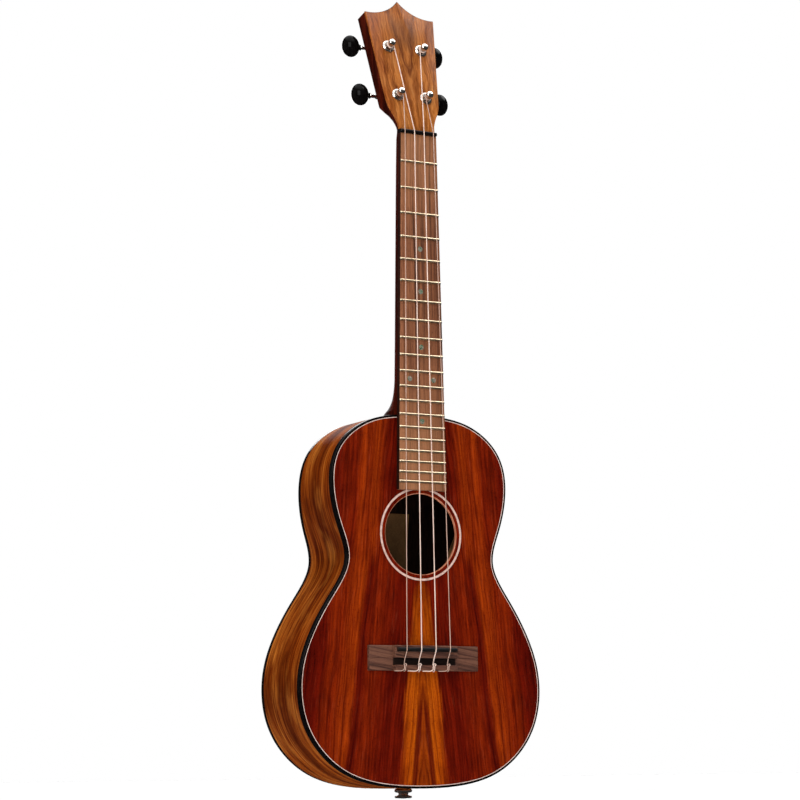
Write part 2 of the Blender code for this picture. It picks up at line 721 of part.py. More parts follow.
def build_button(name, place, side):
    """Worm, shaft and button in one piece. Local X is the joint's axis, along the shaft."""
    start = -6.9
    neck_end = BUTTON_REACH - BUTTON[0] - 1.2
    steps = 14
    angles = [2.0 * math.pi * i / steps for i in range(steps)]
    stations = [(start, SHAFT_RADIUS, SHAFT_RADIUS), (neck_end - 0.6, SHAFT_RADIUS, SHAFT_RADIUS),
                (neck_end, 2.6, 2.6), (neck_end + 1.4, 2.9, 2.7)]
    for i in range(2, 8):
        a = math.pi * i / 8.0
        reach = BUTTON_REACH - BUTTON[0] * math.cos(a)
        stations.append((reach, BUTTON[1] * math.sin(a), BUTTON[2] * math.sin(a)))
    rings = [[(side * x, wide * math.cos(a), deep * math.sin(a)) for a in angles] for x, wide, deep in stations]
    button = add_object(name, loft(rings), black_plastic(), place, smooth=40)
    boolean(button, add_object("thread", worm_thread(side), nickel(), place), "UNION")


def worm_thread(side):
    """A helical ridge about local X, centred where it faces the gear on the -Y side."""
    steps = 12
    crest, base = WORM_PITCH_RADIUS + ADDENDUM, SHAFT_RADIUS - 0.4
    at_crest, at_base = 0.5 * (TOOTH_THICKNESS - 0.4), 0.5 * (TOOTH_THICKNESS + 0.5)
    rings = []
    half = int(THREAD_TURNS * steps / 2)
    for i in range(-half, half + 1):
        phase = 2.0 * math.pi * i / steps
        x = THREAD_PITCH * i / steps
        # phase zero points to -Y; it grows by the right hand about +X
        across, up = -math.cos(phase), -math.sin(phase)
        rings.append([(side * (x + dx), r * across, r * up) for r, dx in
                      ((base, -at_base), (crest, -at_crest), (crest, at_crest), (base, at_base))])
    return loft(rings)


def build_tuner_body(name, place, side):
    """Back plate with two ears for the worm's shaft, and the barrel round the post."""
    back = -HEAD_THICKNESS - GAP
    plate = back - 1.2
    outline = [(-7.0, -5.5), (7.0, -5.5), (7.0, 11.5), (-7.0, 11.5)]
    body = loft([[(x, y, z) for x, y in outline] for z in (plate, back)])
    body = add_object(name, body, nickel(), place)
    ear_top = WORM_LEVEL - 3.0
    for x in (-5.75, 5.75):
        ear = box((x - 0.85, WORM_OFFSET - 2.9, ear_top), (x + 0.85, WORM_OFFSET + 2.9, plate + 0.5))
        boolean(body, add_object("ear", ear, nickel(), place), "UNION")
    barrel = turned([(BARREL[1], plate + 0.4), (BARREL[1], 0.6), (5.3, 0.6 - GAP), (5.3, 1.2), (4.7, 1.7)], 24)
    boolean(body, add_object("barrel", barrel, nickel(), place), "UNION")
    bore = turned([(BARREL[0], plate - 5.0), (BARREL[0], 10.0)], 24)
    boolean(body, add_object("bore", bore, nickel(), place), "DIFFERENCE")
    shaft = turned([(SHAFT_RADIUS + GAP, -12.0), (SHAFT_RADIUS + GAP, 12.0)], 16)
    turn = Matrix.Rotation(math.pi / 2.0, 4, "Y")
    drill = add_object("drill", shaft, nickel(), place @ Matrix.Translation((0.0, WORM_OFFSET, WORM_LEVEL)) @ turn)
    boolean(body, drill, "DIFFERENCE")


def build_tuners():
    for number, (side, x, along) in POSTS.items():
        post_place = HEAD_FRAME @ Matrix.Translation((side * x, along, 0.0))
        worm_place = post_place @ Matrix.Translation((0.0, WORM_OFFSET, WORM_LEVEL))
        build_tuner_body(f"tuner_body_{number}", post_place, side)
        build_post(f"tuner_post_{number}", post_place)
        build_button(f"tuner_button_{number}", worm_place, side)


clear_scene()
build_plates()
build_sides()
build_trim()
build_linings()
build_blocks()
build_braces()
build_end_pin()
build_neck()
build_fretboard()
build_bridge()
build_strings()
build_tuners()
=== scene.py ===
"""Visual model of a tenor ukulele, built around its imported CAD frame.

+Z runs up the neck, the soundboard faces -Y and +X is the treble side. Shapes are worked out in
millimetres, as in the CAD, and MM turns them into Blender's metres. Every new piece keeps its
object at the origin, so Object coordinates are the instrument's own coordinates.
"""
import math

import bmesh
import bpy
import numpy as np
from mathutils import Matrix, Vector


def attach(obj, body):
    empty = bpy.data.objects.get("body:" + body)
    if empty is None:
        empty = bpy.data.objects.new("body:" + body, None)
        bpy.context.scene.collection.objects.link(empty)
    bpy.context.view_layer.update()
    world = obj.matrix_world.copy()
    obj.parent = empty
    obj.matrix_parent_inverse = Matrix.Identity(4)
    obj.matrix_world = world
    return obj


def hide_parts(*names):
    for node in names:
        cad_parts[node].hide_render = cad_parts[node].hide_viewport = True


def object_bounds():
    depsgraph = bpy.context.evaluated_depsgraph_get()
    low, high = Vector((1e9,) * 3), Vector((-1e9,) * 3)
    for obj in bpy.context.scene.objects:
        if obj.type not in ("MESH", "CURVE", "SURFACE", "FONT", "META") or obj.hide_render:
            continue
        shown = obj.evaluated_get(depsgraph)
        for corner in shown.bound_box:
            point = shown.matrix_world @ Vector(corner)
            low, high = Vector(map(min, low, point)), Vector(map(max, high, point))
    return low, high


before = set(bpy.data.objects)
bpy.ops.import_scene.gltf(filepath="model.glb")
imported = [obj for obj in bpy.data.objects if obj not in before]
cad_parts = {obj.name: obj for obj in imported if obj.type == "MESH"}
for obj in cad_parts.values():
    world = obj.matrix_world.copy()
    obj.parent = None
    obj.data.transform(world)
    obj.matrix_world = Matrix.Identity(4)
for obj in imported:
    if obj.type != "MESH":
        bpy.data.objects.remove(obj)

cad_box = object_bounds()

MM = 0.001
STATIC = "instrument"
FULL_TURN = 2.0 * math.pi
QUARTER_TURN = math.pi / 2.0

# Strings and fretboard
SCALE_LENGTH = 431.8
FRET_COUNT = 20
FRETBOARD_THICKNESS = 4.5
FRETBOARD_END = -302.5
NUT_HALF_WIDTH = 17.4
LAST_FRET_HALF_WIDTH = 22.8
STRING_RADII = (0.34, 0.44, 0.46, 0.35)
NUT_STRING_SPACING = 9.2
SADDLE_STRING_SPACING = 13.7
NUT_TOP = -6.1
SADDLE_TOP = -10.2
SADDLE_Z = -434.8
SADDLE_HALF_THICKNESS = 1.7
NUT_BACK = 3.4

# Body: half of the outline from the top centre, round the treble side, to the tail
OUTLINE = (
    (0, -239), (46.5, -245), (76.4, -268.5), (83.5, -299), (76.8, -332.6), (70, -362),
    (88.1, -396), (110, -440), (113.5, -476), (102.5, -508), (67.8, -537.6), (0, -548),
)
OUTLINE_STEPS = 20
DEPTH_AT_HEEL = 56.5
DEPTH_AT_TAIL = 70
ARCH_TOP = -255
ARCH_BOTTOM = -380
PLATE = 2.2
SIDE = 2
BINDING_WIDTH = 1.9
BINDING_DEPTH = 5
PURFLING_INNER = 2.5
HOLE_CENTRE = -338.7
HOLE_RADIUS = 33.6
HOLE_EASE = 0.6
ROSETTE = (37, 38.8)

# Bridge
BRIDGE_TOP = -431.3
BRIDGE_BOTTOM = -452
BRIDGE_HALF = 51.8
BRIDGE_CENTRE_HALF = 29.5
BRIDGE_WING = 3
BRIDGE_CENTRE = 7.2
CHANNEL = (-441.6, -447.4)
SADDLE_INSET = 1.3
SADDLE_SLOT = SADDLE_HALF_THICKNESS + 0.05
TIE_HOLE_Y = -4.6
TIE_HOLE_RADIUS = 1.1

# Headstock and tuners
HEAD_TILT = math.radians(14.7)
HEAD_BASE_Y = -3
HEAD_START = 4.3
HEADPLATE = 1.8
HEAD_THICKNESS = 14
CROWN_PEAK = 129.7
CROWN_CORNER = (33.7, 115.2)
CROWN_RADIUS = 38
POSTS = {"1": (-1, 13.7, 36.3), "2": (-1, 15.9, 82.8), "3": (1, 15.9, 82.8), "4": (1, 13.7, 36.3)}
WORM_OFFSET = 7.6
WORM_LEVEL = -19.2
GEAR_TEETH = 12
GEAR_PITCH_RADIUS = 5
GEAR_HALF_THICKNESS = 1.1
THREAD_PITCH = FULL_TURN * GEAR_PITCH_RADIUS / GEAR_TEETH
WORM_PITCH_RADIUS = WORM_OFFSET - GEAR_PITCH_RADIUS
SHAFT_RADIUS = 1.6
TOOTH_THICKNESS = 1
ADDENDUM = 0.7
DEDENDUM = 1
THREAD_TURNS = 2.5
BARREL = (3.2, 4.4)
POST_RADIUS = 2.9
POST_WAIST = 2.5
BUTTON_REACH = 25.3
BUTTON = (7.2, 9.9, 7.6)
END_PIN_DEPTH = 35


# ---------------- material recipes

def srgb(colour):
    """Display values from 0 to 255 as the linear colour that shaders take."""
    linear = []
    for value in colour:
        v = value / 255
        linear.append(v / 12.92 if v <= 0.04045 else ((v + 0.055) / 1.055) ** 2.4)
    return (*linear, 1)


class Field:
    """A number that varies over a surface: a node's output that takes Python's arithmetic."""

    def __init__(self, surface, socket):
        self.surface = surface
        self.socket = socket

    def __add__(self, other):
        return self.surface.math("ADD", self, other)

    def __sub__(self, other):
        return self.surface.math("SUBTRACT", self, other)

    def __rsub__(self, other):
        return self.surface.math("SUBTRACT", other, self)

    def __mul__(self, other):
        return self.surface.math("MULTIPLY", self, other)

    def __truediv__(self, other):
        return self.surface.math("DIVIDE", self, other)

    def __pow__(self, other):
        return self.surface.math("POWER", self, other)

    def __abs__(self):
        return self.surface.math("ABSOLUTE", self)


class Surface:
    """A Principled material, with short ways to add the nodes that its pattern needs."""

    def __init__(self, name, roughness, specular=0.5, metallic=0):
        self.material = bpy.data.materials.new(name)
        self.material.use_nodes = True
        self.tree = self.material.node_tree
        self.shader = self.tree.nodes["Principled BSDF"]
        self.constant(Roughness=roughness, Specular_IOR_Level=specular, Metallic=metallic)

    def constant(self, **values):
        """Sets numbers that are the same all over the surface on the shader's own sockets."""
        for key, value in values.items():
            self.shader.inputs[key.replace("_", " ")].default_value = value

    def connect(self, value, socket):
        """The value is a field, a node's socket, a number or a colour of three display values."""
        if isinstance(value, Field):
            value = value.socket
        if isinstance(value, bpy.types.NodeSocket):
            self.tree.links.new(value, socket)
        else:
            socket.default_value = srgb(value) if isinstance(value, tuple) else value

    def set(self, name, value):
        self.connect(value, self.shader.inputs[name])

    def node(self, kind, inputs=None, **settings):
        made = self.tree.nodes.new(kind)
        for key, value in settings.items():
            setattr(made, key, value)
        for key, value in (inputs or {}).items():
            self.connect(value, made.inputs[key])
        return made

    def math(self, operation, first, second=0, clamp=False):
        made = self.node("ShaderNodeMath", {0: first, 1: second}, operation=operation, use_clamp=clamp)
        return Field(self, made.outputs[0])

    def split(self, socket):
        return [Field(self, output) for output in self.node("ShaderNodeSeparateXYZ", {0: socket}).outputs]

    def place(self):
        """The instrument's own x, y and z, in millimetres."""
        return [axis * (1 / MM) for axis in self.split(self.node("ShaderNodeTexCoord").outputs["Object"])]

    def attribute(self, name):
        return self.split(self.node("ShaderNodeAttribute", attribute_name=name).outputs["Vector"])

    def noise(self, axes, scales, detail=3, roughness=0.55, distortion=0):
        """Noise read along stretched axes, so that unequal scales turn it into streaks."""
        stretched = [axis * scale for axis, scale in zip(axes, scales)]
        vector = self.node("ShaderNodeCombineXYZ", dict(enumerate(stretched))).outputs[0]
        made = self.node("ShaderNodeTexNoise", {"Vector": vector, "Scale": 1, "Detail": detail,
                                                "Roughness": roughness, "Distortion": distortion})
        return Field(self, made.outputs["Fac"])

    def cloud(self, scale, detail=3, **settings):
        """Noise that is the same in every direction."""
        return self.noise(self.place(), (scale, scale, scale), detail, **settings)

    def smooth(self, value, low, high, start=0, end=1):
        """Goes smoothly from start to end while value goes from low to high."""
        inputs = dict(enumerate((value, low, high, start, end)))
        made = self.node("ShaderNodeMapRange", inputs, interpolation_type="SMOOTHSTEP")
        return Field(self, made.outputs[0])

    def ramp(self, factor, *stops):
        made = self.node("ShaderNodeValToRGB", {"Fac": factor})
        elements = made.color_ramp.elements
        while len(elements) < len(stops):
            elements.new(0.5)
        for element, (position, *colour) in zip(elements, stops):
            element.position = position
            element.color = srgb(colour)
        return made.outputs["Color"]

    def mix(self, factor, first, second, blend="MIX"):
        inputs = {0: factor, 6: first, 7: second}
        return self.node("ShaderNodeMix", inputs, data_type="RGBA", blend_type=blend).outputs[2]

    def tinted(self, colour, amount, tint, blend="MULTIPLY"):
        """Multiplies the colour by a tint, or blends it another way, as far as amount says."""
        return self.mix(amount, colour, self.mix(1, colour, tint, blend))

    def streaked(self, colour, axes, scales, low, high, amount, tint, roughness=0.55):
        """Tints the colour where stretched noise rises from low to high."""
        streaks = self.noise(axes, scales, roughness=roughness)
        return self.tinted(colour, self.smooth(streaks, low, high, 0, amount), tint)

    def bump(self, height, strength, depth):
        """Shades the surface as if it rose by depth millimetres where height is 1."""
        made = self.node("ShaderNodeBump", {"Height": height, "Strength": strength, "Distance": depth * MM})
        self.set("Normal", made.outputs["Normal"])


def grained(s, colour, axes, rise, coat_roughness, coat_weight):
    """Ends a wood: streaks, fine grain and pores, then the varnish.

    axes are millimetres across, into and along the grain. rise is the bump's strength and depth.
    """
    streaks = s.noise(axes, (0.55, 0.3, 0.009), detail=4)
    colour = s.tinted(colour, s.smooth(streaks, 0.35, 0.65, 0, 0.55), (150, 118, 105))
    fine = s.noise(axes, (3.1, 1.6, 0.06), detail=2)
    colour = s.tinted(colour, s.smooth(fine, 0.40, 0.66, 0, 0.5), (165, 150, 140))
    pores = s.smooth(s.noise(axes, (4.6, 4.6, 0.28), detail=1), 0.66, 0.74)
    colour = s.tinted(colour, pores * 0.7, (120, 90, 80))
    s.set("Base Color", colour)
    s.bump(streaks - pores, *rise)
    s.constant(Coat_Roughness=coat_roughness, Coat_Weight=coat_weight, Coat_IOR=1.5)
    return s.material


def koa_top():
    """Bookmatched gloss koa: dark red, orange-brown bands and a golden flame down the seam."""
    s = Surface("koa_top", 0.4, 0)
    x, y, z = s.place()
    across = abs(x)
    wander = (s.noise((across, 0, z), (0.035, 0, 0.011), detail=2) - 0.5) * 8
    across_w = across + wander
    # the grain leans away from the seam towards the tail
    leaning = (z + 400) * 0.10 + across_w

    # the golden flame opens from a point below the rosette and widens down to the tail
    down = -372 - z
    flame_half = s.math("DIVIDE", down, 170, clamp=True) ** 0.62 * 23.5
    ripple = s.noise((across, z), (0.22, 0.02))
    edge = across - flame_half + (ripple - 0.5) * 8
    soft = s.smooth(down, 40, 80, 2.6, 1)
    flame = s.smooth(edge / soft, -1.8, 1.2, 1, 0) * s.smooth(down, -2, 10)

    # bands of colour across each half, above and below the waist
    low_band = (z + 455) * 0.13 + across_w
    high_band = (z + 290) * 0.07 + across_w
    upper = s.ramp(high_band / 115, (0, 124, 32, 5), (0.12, 118, 28, 4), (0.21, 92, 13, 2),
                   (0.28, 112, 24, 4), (0.36, 142, 48, 6), (0.42, 128, 38, 5), (0.47, 144, 48, 6),
                   (0.53, 118, 28, 4), (0.60, 116, 29, 5), (0.66, 98, 16, 3), (0.76, 104, 22, 3),
                   (0.9, 84, 10, 2))
    lower = s.ramp(low_band / 115, (0, 118, 28, 4), (0.12, 106, 20, 3), (0.20, 108, 21, 4),
                   (0.27, 98, 16, 3), (0.35, 118, 28, 4), (0.43, 128, 35, 5), (0.485, 114, 26, 4),
                   (0.505, 78, 8, 2), (0.53, 112, 25, 4), (0.56, 148, 52, 6), (0.63, 140, 46, 6),
                   (0.70, 126, 34, 4), (0.76, 128, 36, 4), (0.83, 100, 17, 3), (0.92, 84, 10, 2))
    colour = s.mix(s.smooth(z, -372, -344), lower, upper)

    # the flame itself: gold, with a dark tongue that rises from the tail on each side of the seam
    gold = s.ramp(across / 21, (0, 162, 68, 7), (0.35, 182, 84, 8), (0.8, 170, 72, 6), (1, 146, 50, 5))
    tongue_rise = -478 - z
    tongue_centre = tongue_rise * 0.105 + 2.2
    tongue = s.smooth(abs(across - tongue_centre), 1.4, 3.6, 1, 0) * s.smooth(tongue_rise, -20, 10)
    core = s.smooth(tongue_centre - across, 0, 2.5, 0, 0.6) * s.smooth(tongue_rise, 0, 20)
    gold = s.mix(core, gold, (120, 38, 5))
    gold = s.mix(tongue * 0.9, gold, (92, 17, 3))
    colour = s.mix(flame, colour, gold)

    # long dark lines, soft clouds, dashes and short flecks, all running with the grain
    grain = (leaning, z)
    colour = s.streaked(colour, grain, (0.27, 0.004), 0.52, 0.66, 0.60, (158, 102, 92), 0.6)
    colour = s.streaked(colour, grain, (0.12, 0.035), 0.42, 0.66, 0.50, (176, 138, 128), 0.6)
    colour = s.streaked(colour, grain, (0.55, 0.030), 0.54, 0.64, 0.45, (160, 108, 98), 0.7)
    colour = s.streaked(colour, grain, (0.95, 0.50), 0.54, 0.68, 0.60, (160, 112, 102), 0.7)
    dashes = s.noise(grain, (0.55, 0.030), roughness=0.7)
    colour = s.tinted(colour, s.smooth(dashes, 0.32, 0.44, 0.22, 0), (120, 60, 40), "SCREEN")
    return grained(s, colour, (leaning, y, z), (0.12, 0.05), 0.05, 0.6)


def koa_side():
    """Golden koa whose grain follows the rim, read from the strip's own length and depth."""
    s = Surface("koa_side", 0.4, 0)
    along, depth, _ = s.attribute("grain")
    z = s.place()[2]
    across = (s.noise((depth, along), (0.006, 0.008), detail=1) - 0.5) * 22 + depth
    broad = s.noise((across, along), (0.085, 0.0032), roughness=0.62)
    colour = s.ramp(broad, (0.32, 70, 22, 3), (0.40, 108, 42, 5), (0.45, 150, 76, 18), (0.49, 112, 44, 5),
                    (0.54, 172, 98, 33), (0.59, 124, 54, 9), (0.66, 196, 122, 52))
    # a darker band along the middle, and painted shade: darker stretches down the length where the rim faces
    # away from the lights
    colour = s.tinted(colour, s.smooth(abs(across - 30), 3, 13, 0.6, 0), (156, 104, 66))
    painted_shade_stretches = s.ramp(z / -560, (0.44, 255, 255, 255), (0.50, 255, 250, 245), (0.56, 206, 184, 162),
                       (0.63, 206, 184, 162), (0.69, 255, 255, 255), (0.76, 238, 222, 205),
                       (0.84, 190, 166, 140), (0.93, 255, 255, 255))
    colour = s.mix(1, colour, painted_shade_stretches, "MULTIPLY")
    gleam = s.noise((across, along), (0.05, 0.018))
    colour = s.tinted(colour, s.smooth(gleam, 0.50, 0.66, 0, 0.5), (150, 92, 34), "SCREEN")
    colour = s.tinted(colour, s.smooth(gleam, 0.34, 0.47, 0.55, 0), (160, 122, 96))
    colour = s.streaked(colour, (across, along), (0.7, 0.010), 0.52, 0.64, 0.6, (150, 104, 76), 0.7)
    return grained(s, colour, (across, 0, along), (0.15, 0.05), 0.30, 0.10)


def koa_back():
    """The back is bookmatched from the same golden koa as the sides."""
    s = Surface("koa_back", 0.4, 0)
    x, _, z = s.place()
    mirrored = abs(x)
    across = (s.noise((mirrored, z), (0.018, 0.007), detail=2) - 0.5) * 40 + mirrored
    broad = s.noise((across, z), (0.065, 0.0035), roughness=0.6)
    colour = s.ramp(broad, (0.32, 66, 22, 4), (0.42, 104, 42, 7), (0.47, 140, 70, 18), (0.52, 108, 45, 8),
                    (0.58, 156, 86, 28), (0.66, 122, 54, 12))
    curl = s.noise((mirrored, z), (0.022, 0.14), detail=2)
    colour = s.tinted(colour, s.smooth(curl, 0.50, 0.72, 0, 0.35), (255, 214, 168), "SOFT_LIGHT")
    seam = s.smooth(mirrored, 0.10, 0.35, 0.5, 0)
    colour = s.mix(seam, colour, (60, 22, 6))
    return grained(s, colour, (across, 0, z), (0.15, 0.05), 0.06, 0.6)


def koa_headplate():
    """Paler koa with a smoky patch near the top and dark lines that meet in a V below it."""
    s = Surface("koa_headplate", 0.4, 0)
    x, _, z = s.place()
    up = z / math.cos(HEAD_TILT)
    wander = (s.noise((x, up), (0.06, 0.03)) - 0.5) * 12
    across = abs(x - 1.5) + wander
    rings = up * -0.19 + across
    lines = s.noise((rings, 0, up), (0.26, 0, 0.01))
    colour = s.ramp(lines, (0.30, 128, 69, 28), (0.45, 164, 98, 44), (0.56, 180, 114, 56),
                    (0.68, 140, 79, 34))
    haze = s.noise((x, up), (0.09, 0.035))
    colour = s.mix(s.smooth(haze, 0.50, 0.70, 0, 0.5), colour, (190, 132, 76))
    colour = s.tinted(colour, s.smooth(haze, 0.34, 0.48, 0.7, 0), (186, 164, 140))
    colour = s.tinted(colour, s.smooth(up, 40, 100, 0, 0.4), (226, 204, 170))
    colour = s.tinted(colour, s.smooth(x, -28, -8, 0.8, 0), (228, 208, 190))
    vee = s.smooth(abs(rings + 11), 0.3, 3.4, 0.55, 0) * s.smooth(up, 44, 62)
    colour = s.mix(vee, colour, (96, 48, 22))
    patch_up = (up - 97) / 17
    patch_across = (x - 1) / 15
    patch = patch_up ** 2 + patch_across ** 2 + wander * 0.10
    colour = s.mix(s.smooth(patch, 0.1, 1.4, 0.48, 0), colour, (104, 64, 34))
    return grained(s, colour, (across, 0, up), (0.15, 0.05), 0.25, 0.2)


def mahogany():
    """Very dark red-brown neck wood under a satin finish."""
    s = Surface("neck_mahogany", 0.45, 0.02)
    axes = s.place()
    broad = s.noise(axes, (0.11, 0.11, 0.006))
    colour = s.ramp(broad, (0.32, 37, 7, 2), (0.5, 57, 13, 5), (0.68, 80, 23, 9))
    return grained(s, colour, axes, (0.2, 0.06), 0.30, 0.03)


def inner_wood(name, dark, light):
    """Unfinished wood for the parts inside the body, dull wood for the dark and pale edges, and near-black
    painted shade on the faces within the body.
    """
    s = Surface(name, 0.75, 0.05)
    rings = s.noise(s.place(), (0.5, 0.5, 0.05), detail=4)
    fuzz = s.noise(s.place(), (2.2, 2.2, 0.8), detail=2)
    s.set("Base Color", s.ramp(rings, (0.35, *dark), (0.65, *light)))
    s.set("Roughness", s.smooth(fuzz, 0.3, 0.7, 0.62, 0.85))
    s.bump(fuzz, 0.3, 0.05)
    return s.material


def rosewood(s, across, y, along, *stops):
    """Dry, dull rosewood: a grey-brown ground with thin darker lines and pores."""
    wander = s.noise((across, along), (0.05, 0.01), detail=2)
    across = (wander - 0.5) * 6 + across
    broad = s.noise((across, y, along), (0.30, 0.3, 0.005), detail=4, roughness=0.62)
    lines = s.noise((across, y, along), (1.3, 0.8, 0.012))
    pores = s.smooth(s.noise((across, y, along), (5, 5, 0.22), detail=1), 0.62, 0.70)
    colour = s.tinted(s.ramp(broad, *stops), s.smooth(lines, 0.52, 0.66, 0, 0.6), (150, 130, 125))
    s.set("Roughness", s.smooth(broad, 0.3, 0.7, 0.62, 0.46))
    s.bump(lines - pores, 0.35, 0.08)
    return s.tinted(colour, pores * 0.75, (110, 95, 88))


def bridge_rosewood():
    """Grain runs along the bridge, a little aslant. The string channel is painted near-black as deep shade.
    """
    s = Surface("bridge_rosewood", 0.55, 0.15)
    x, y, z = s.place()
    colour = rosewood(s, x * 0.16 + z, y, x, (0.30, 42, 24, 18), (0.44, 80, 49, 38), (0.56, 106, 69, 53),
                      (0.70, 78, 50, 39))
    # painted shade: the channel's floor and walls, below the raised top, are mixed towards near-black
    below = s.smooth(y, 0.4 - BRIDGE_CENTRE, 1.2 - BRIDGE_CENTRE)
    past_lower = s.smooth(z, CHANNEL[1] - 0.3, CHANNEL[1] + 0.1)
    before_upper = s.smooth(z, CHANNEL[0] - 0.1, CHANNEL[0] + 0.3, 1, 0)
    within = s.smooth(abs(x), BRIDGE_CENTRE_HALF - 0.5, BRIDGE_CENTRE_HALF + 0.8, 1, 0)
    s.set("Base Color", s.mix(below * past_lower * before_upper * within * 0.92, colour, (16, 8, 6)))
    return s.material


def fretboard_rosewood():
    """Paler towards both ends and a little darker on the treble side."""
    s = Surface("fretboard_rosewood", 0.55, 0.15)
    x, y, z = s.place()
    colour = rosewood(s, x, y, z, (0.30, 66, 38, 25), (0.42, 104, 62, 40), (0.52, 134, 84, 56),
                      (0.62, 112, 68, 45), (0.72, 84, 52, 36))
    colour = s.tinted(colour, s.smooth(abs(z + 140), 40, 140, 0, 0.65), (100, 70, 44), "SCREEN")
    s.set("Base Color", s.tinted(colour, s.smooth(x, 4, 18, 0, 0.6), (212, 200, 196)))
    return s.material


def black_gloss(name, roughness, gloss):
    """Polished black plastic with the faint unevenness of buffing."""
    s = Surface(name, roughness, gloss)
    cloud = s.cloud(0.35)
    s.set("Base Color", s.ramp(cloud, (0.3, 4, 3, 3), (0.7, 12, 10, 10)))
    s.set("Roughness", s.smooth(s.cloud(3, 2), 0.3, 0.7, roughness * 0.8, roughness * 1.3))
    s.bump(cloud, 0.1, 0.03)
    return s.material


def cream(name, light, dark, scale):
    """Cream celluloid with a slightly pearly figure."""
    s = Surface(name, 0.28)
    cloud = s.cloud(scale)
    s.set("Base Color", s.ramp(cloud, (0.35, *dark), (0.62, *light)))
    s.set("Roughness", s.smooth(cloud, 0.3, 0.7, 0.22, 0.34))
    return s.material


def metal(name, light, dark, roughness):
    """Plated metal with light handling marks."""
    s = Surface(name, roughness, metallic=1)
    s.set("Base Color", s.ramp(s.cloud(0.4), (0.3, *dark), (0.6, *light)))
    marks = s.cloud(2.6, 4, roughness=0.7)
    s.set("Roughness", s.smooth(marks, 0.35, 0.75, roughness * 0.75, roughness * 1.6))
    s.bump(marks, 0.08, 0.02)
    return s.material


def nylon(name, dark, light):
    """Milky string, a little translucent, with a faint drawn texture."""
    s = Surface(name, 0.30)
    s.constant(Subsurface_Weight=0.15, Subsurface_Radius=(0.001, 0.0008, 0.0006))
    drawn = s.noise(s.place(), (1.4, 1.4, 0.06), detail=2)
    s.set("Base Color", s.ramp(drawn, (0.35, *dark), (0.65, *light)))
    return s.material


def paper():
    s = Surface("label_paper", 0.85, 0.2)
    fibre = s.cloud(0.9, 4)
    colour = s.ramp(s.cloud(0.05, 2), (0.35, 96, 66, 36), (0.65, 114, 80, 46))
    s.set("Base Color", s.mix(s.smooth(fibre, 0.4, 0.7, 0, 0.3), colour, (134, 102, 64)))
    s.bump(fibre, 0.3, 0.05)
    return s.material


def abalone():
    """Shell inlay: patches of green, blue, purple and silver under a polish."""
    s = Surface("abalone", 0.12, 0.6)
    patches = s.cloud(0.42, distortion=1.2)
    s.set("Base Color", s.ramp(patches, (0.30, 34, 44, 36), (0.42, 66, 96, 74), (0.50, 128, 126, 108),
                               (0.58, 92, 78, 84), (0.70, 184, 166, 134)))
    s.bump(patches, 0.15, 0.03)
    s.constant(Coat_Roughness=0.05, Coat_Weight=0.6, Coat_IOR=1.5)
    return s.material


RECIPES = {
    "koa_top": (koa_top,),
    "koa_side": (koa_side,),
    "koa_back": (koa_back,),
    "koa_headplate": (koa_headplate,),
    "mahogany": (mahogany,),
    "spruce": (inner_wood, "inner_spruce", (110, 74, 42), (150, 110, 70)),
    "inner_mahogany": (inner_wood, "inner_mahogany", (84, 44, 26), (128, 76, 46)),
    # painted shade: near-black wood on the faces inside the body stands for the shade within it
    "inside": (inner_wood, "koa_inside", (18, 8, 5), (32, 16, 9)),
    "board_edge": (inner_wood, "board_edge", (26, 10, 7), (44, 19, 12)),
    "hole_edge": (inner_wood, "hole_edge", (142, 80, 56), (188, 126, 98)),
    "fretboard": (fretboard_rosewood,),
    "bridge": (bridge_rosewood,),
    "trim": (black_gloss, "black_trim", 0.20, 0.07),
    "buttons": (black_gloss, "button_plastic", 0.06, 0.05),
    "nut": (black_gloss, "nut_plastic", 0.30, 0.15),
    "saddle": (black_gloss, "saddle_plastic", 0.34, 1),
    "cream": (cream, "cream_line", (206, 182, 172), (178, 152, 142), 0.12),
    "rosette": (cream, "rosette_line", (204, 170, 158), (174, 140, 128), 0.25),
    "nickel": (metal, "bright_nickel", (236, 232, 226), (206, 200, 192), 0.14),
    "fret": (metal, "fret_nickel", (236, 216, 184), (214, 194, 160), 0.40),
    "pin": (metal, "pin_nickel", (226, 222, 216), (188, 180, 176), 0.10),
    "thick_string": (nylon, "thick_nylon", (198, 168, 154), (220, 196, 182)),
    "thin_string": (nylon, "thin_nylon", (168, 136, 120), (190, 158, 142)),
    "paper": (paper,),
    "abalone": (abalone,),
}
MADE = {}


def finish_of(key):
    """Each material is made once, the first time that a piece asks for it."""
    if key not in MADE:
        recipe, *values = RECIPES[key]
        MADE[key] = recipe(*values)
    return MADE[key]


# ---------------- mesh helpers

def solid(name, bm, placement=None):
    """Turns a bmesh in millimetres into an object at the origin, with its place in its mesh."""
    if placement is not None:
        bm.transform(placement)
    bmesh.ops.recalc_face_normals(bm, faces=bm.faces)
    bmesh.ops.scale(bm, vec=(MM, MM, MM), verts=bm.verts)
    mesh = bpy.data.meshes.new(name)
    bm.to_mesh(mesh)
    bm.free()
    made = bpy.data.objects.new(name, mesh)
    bpy.context.scene.collection.objects.link(made)
    return made


def settle(made, finish, replaces, body=STATIC, angle=35):
    """Gives a finished piece its material, its body and the CAD nodes that it stands for."""
    made.data.shade_smooth()
    made.data.set_sharp_from_angle(angle=math.radians(angle))
    made.data.materials.clear()
    made.data.materials.append(finish_of(finish))
    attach(made, body)
    if replaces:
        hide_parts(*replaces)
    return made


def second_finish(made, finish, belongs):
    """Gives the faces that belongs() accepts, by centre and normal, another material."""
    made.data.materials.append(finish_of(finish))
    last = len(made.data.materials) - 1
    for face in made.data.polygons:
        if belongs(face.center / MM, face.normal):
            face.material_index = last


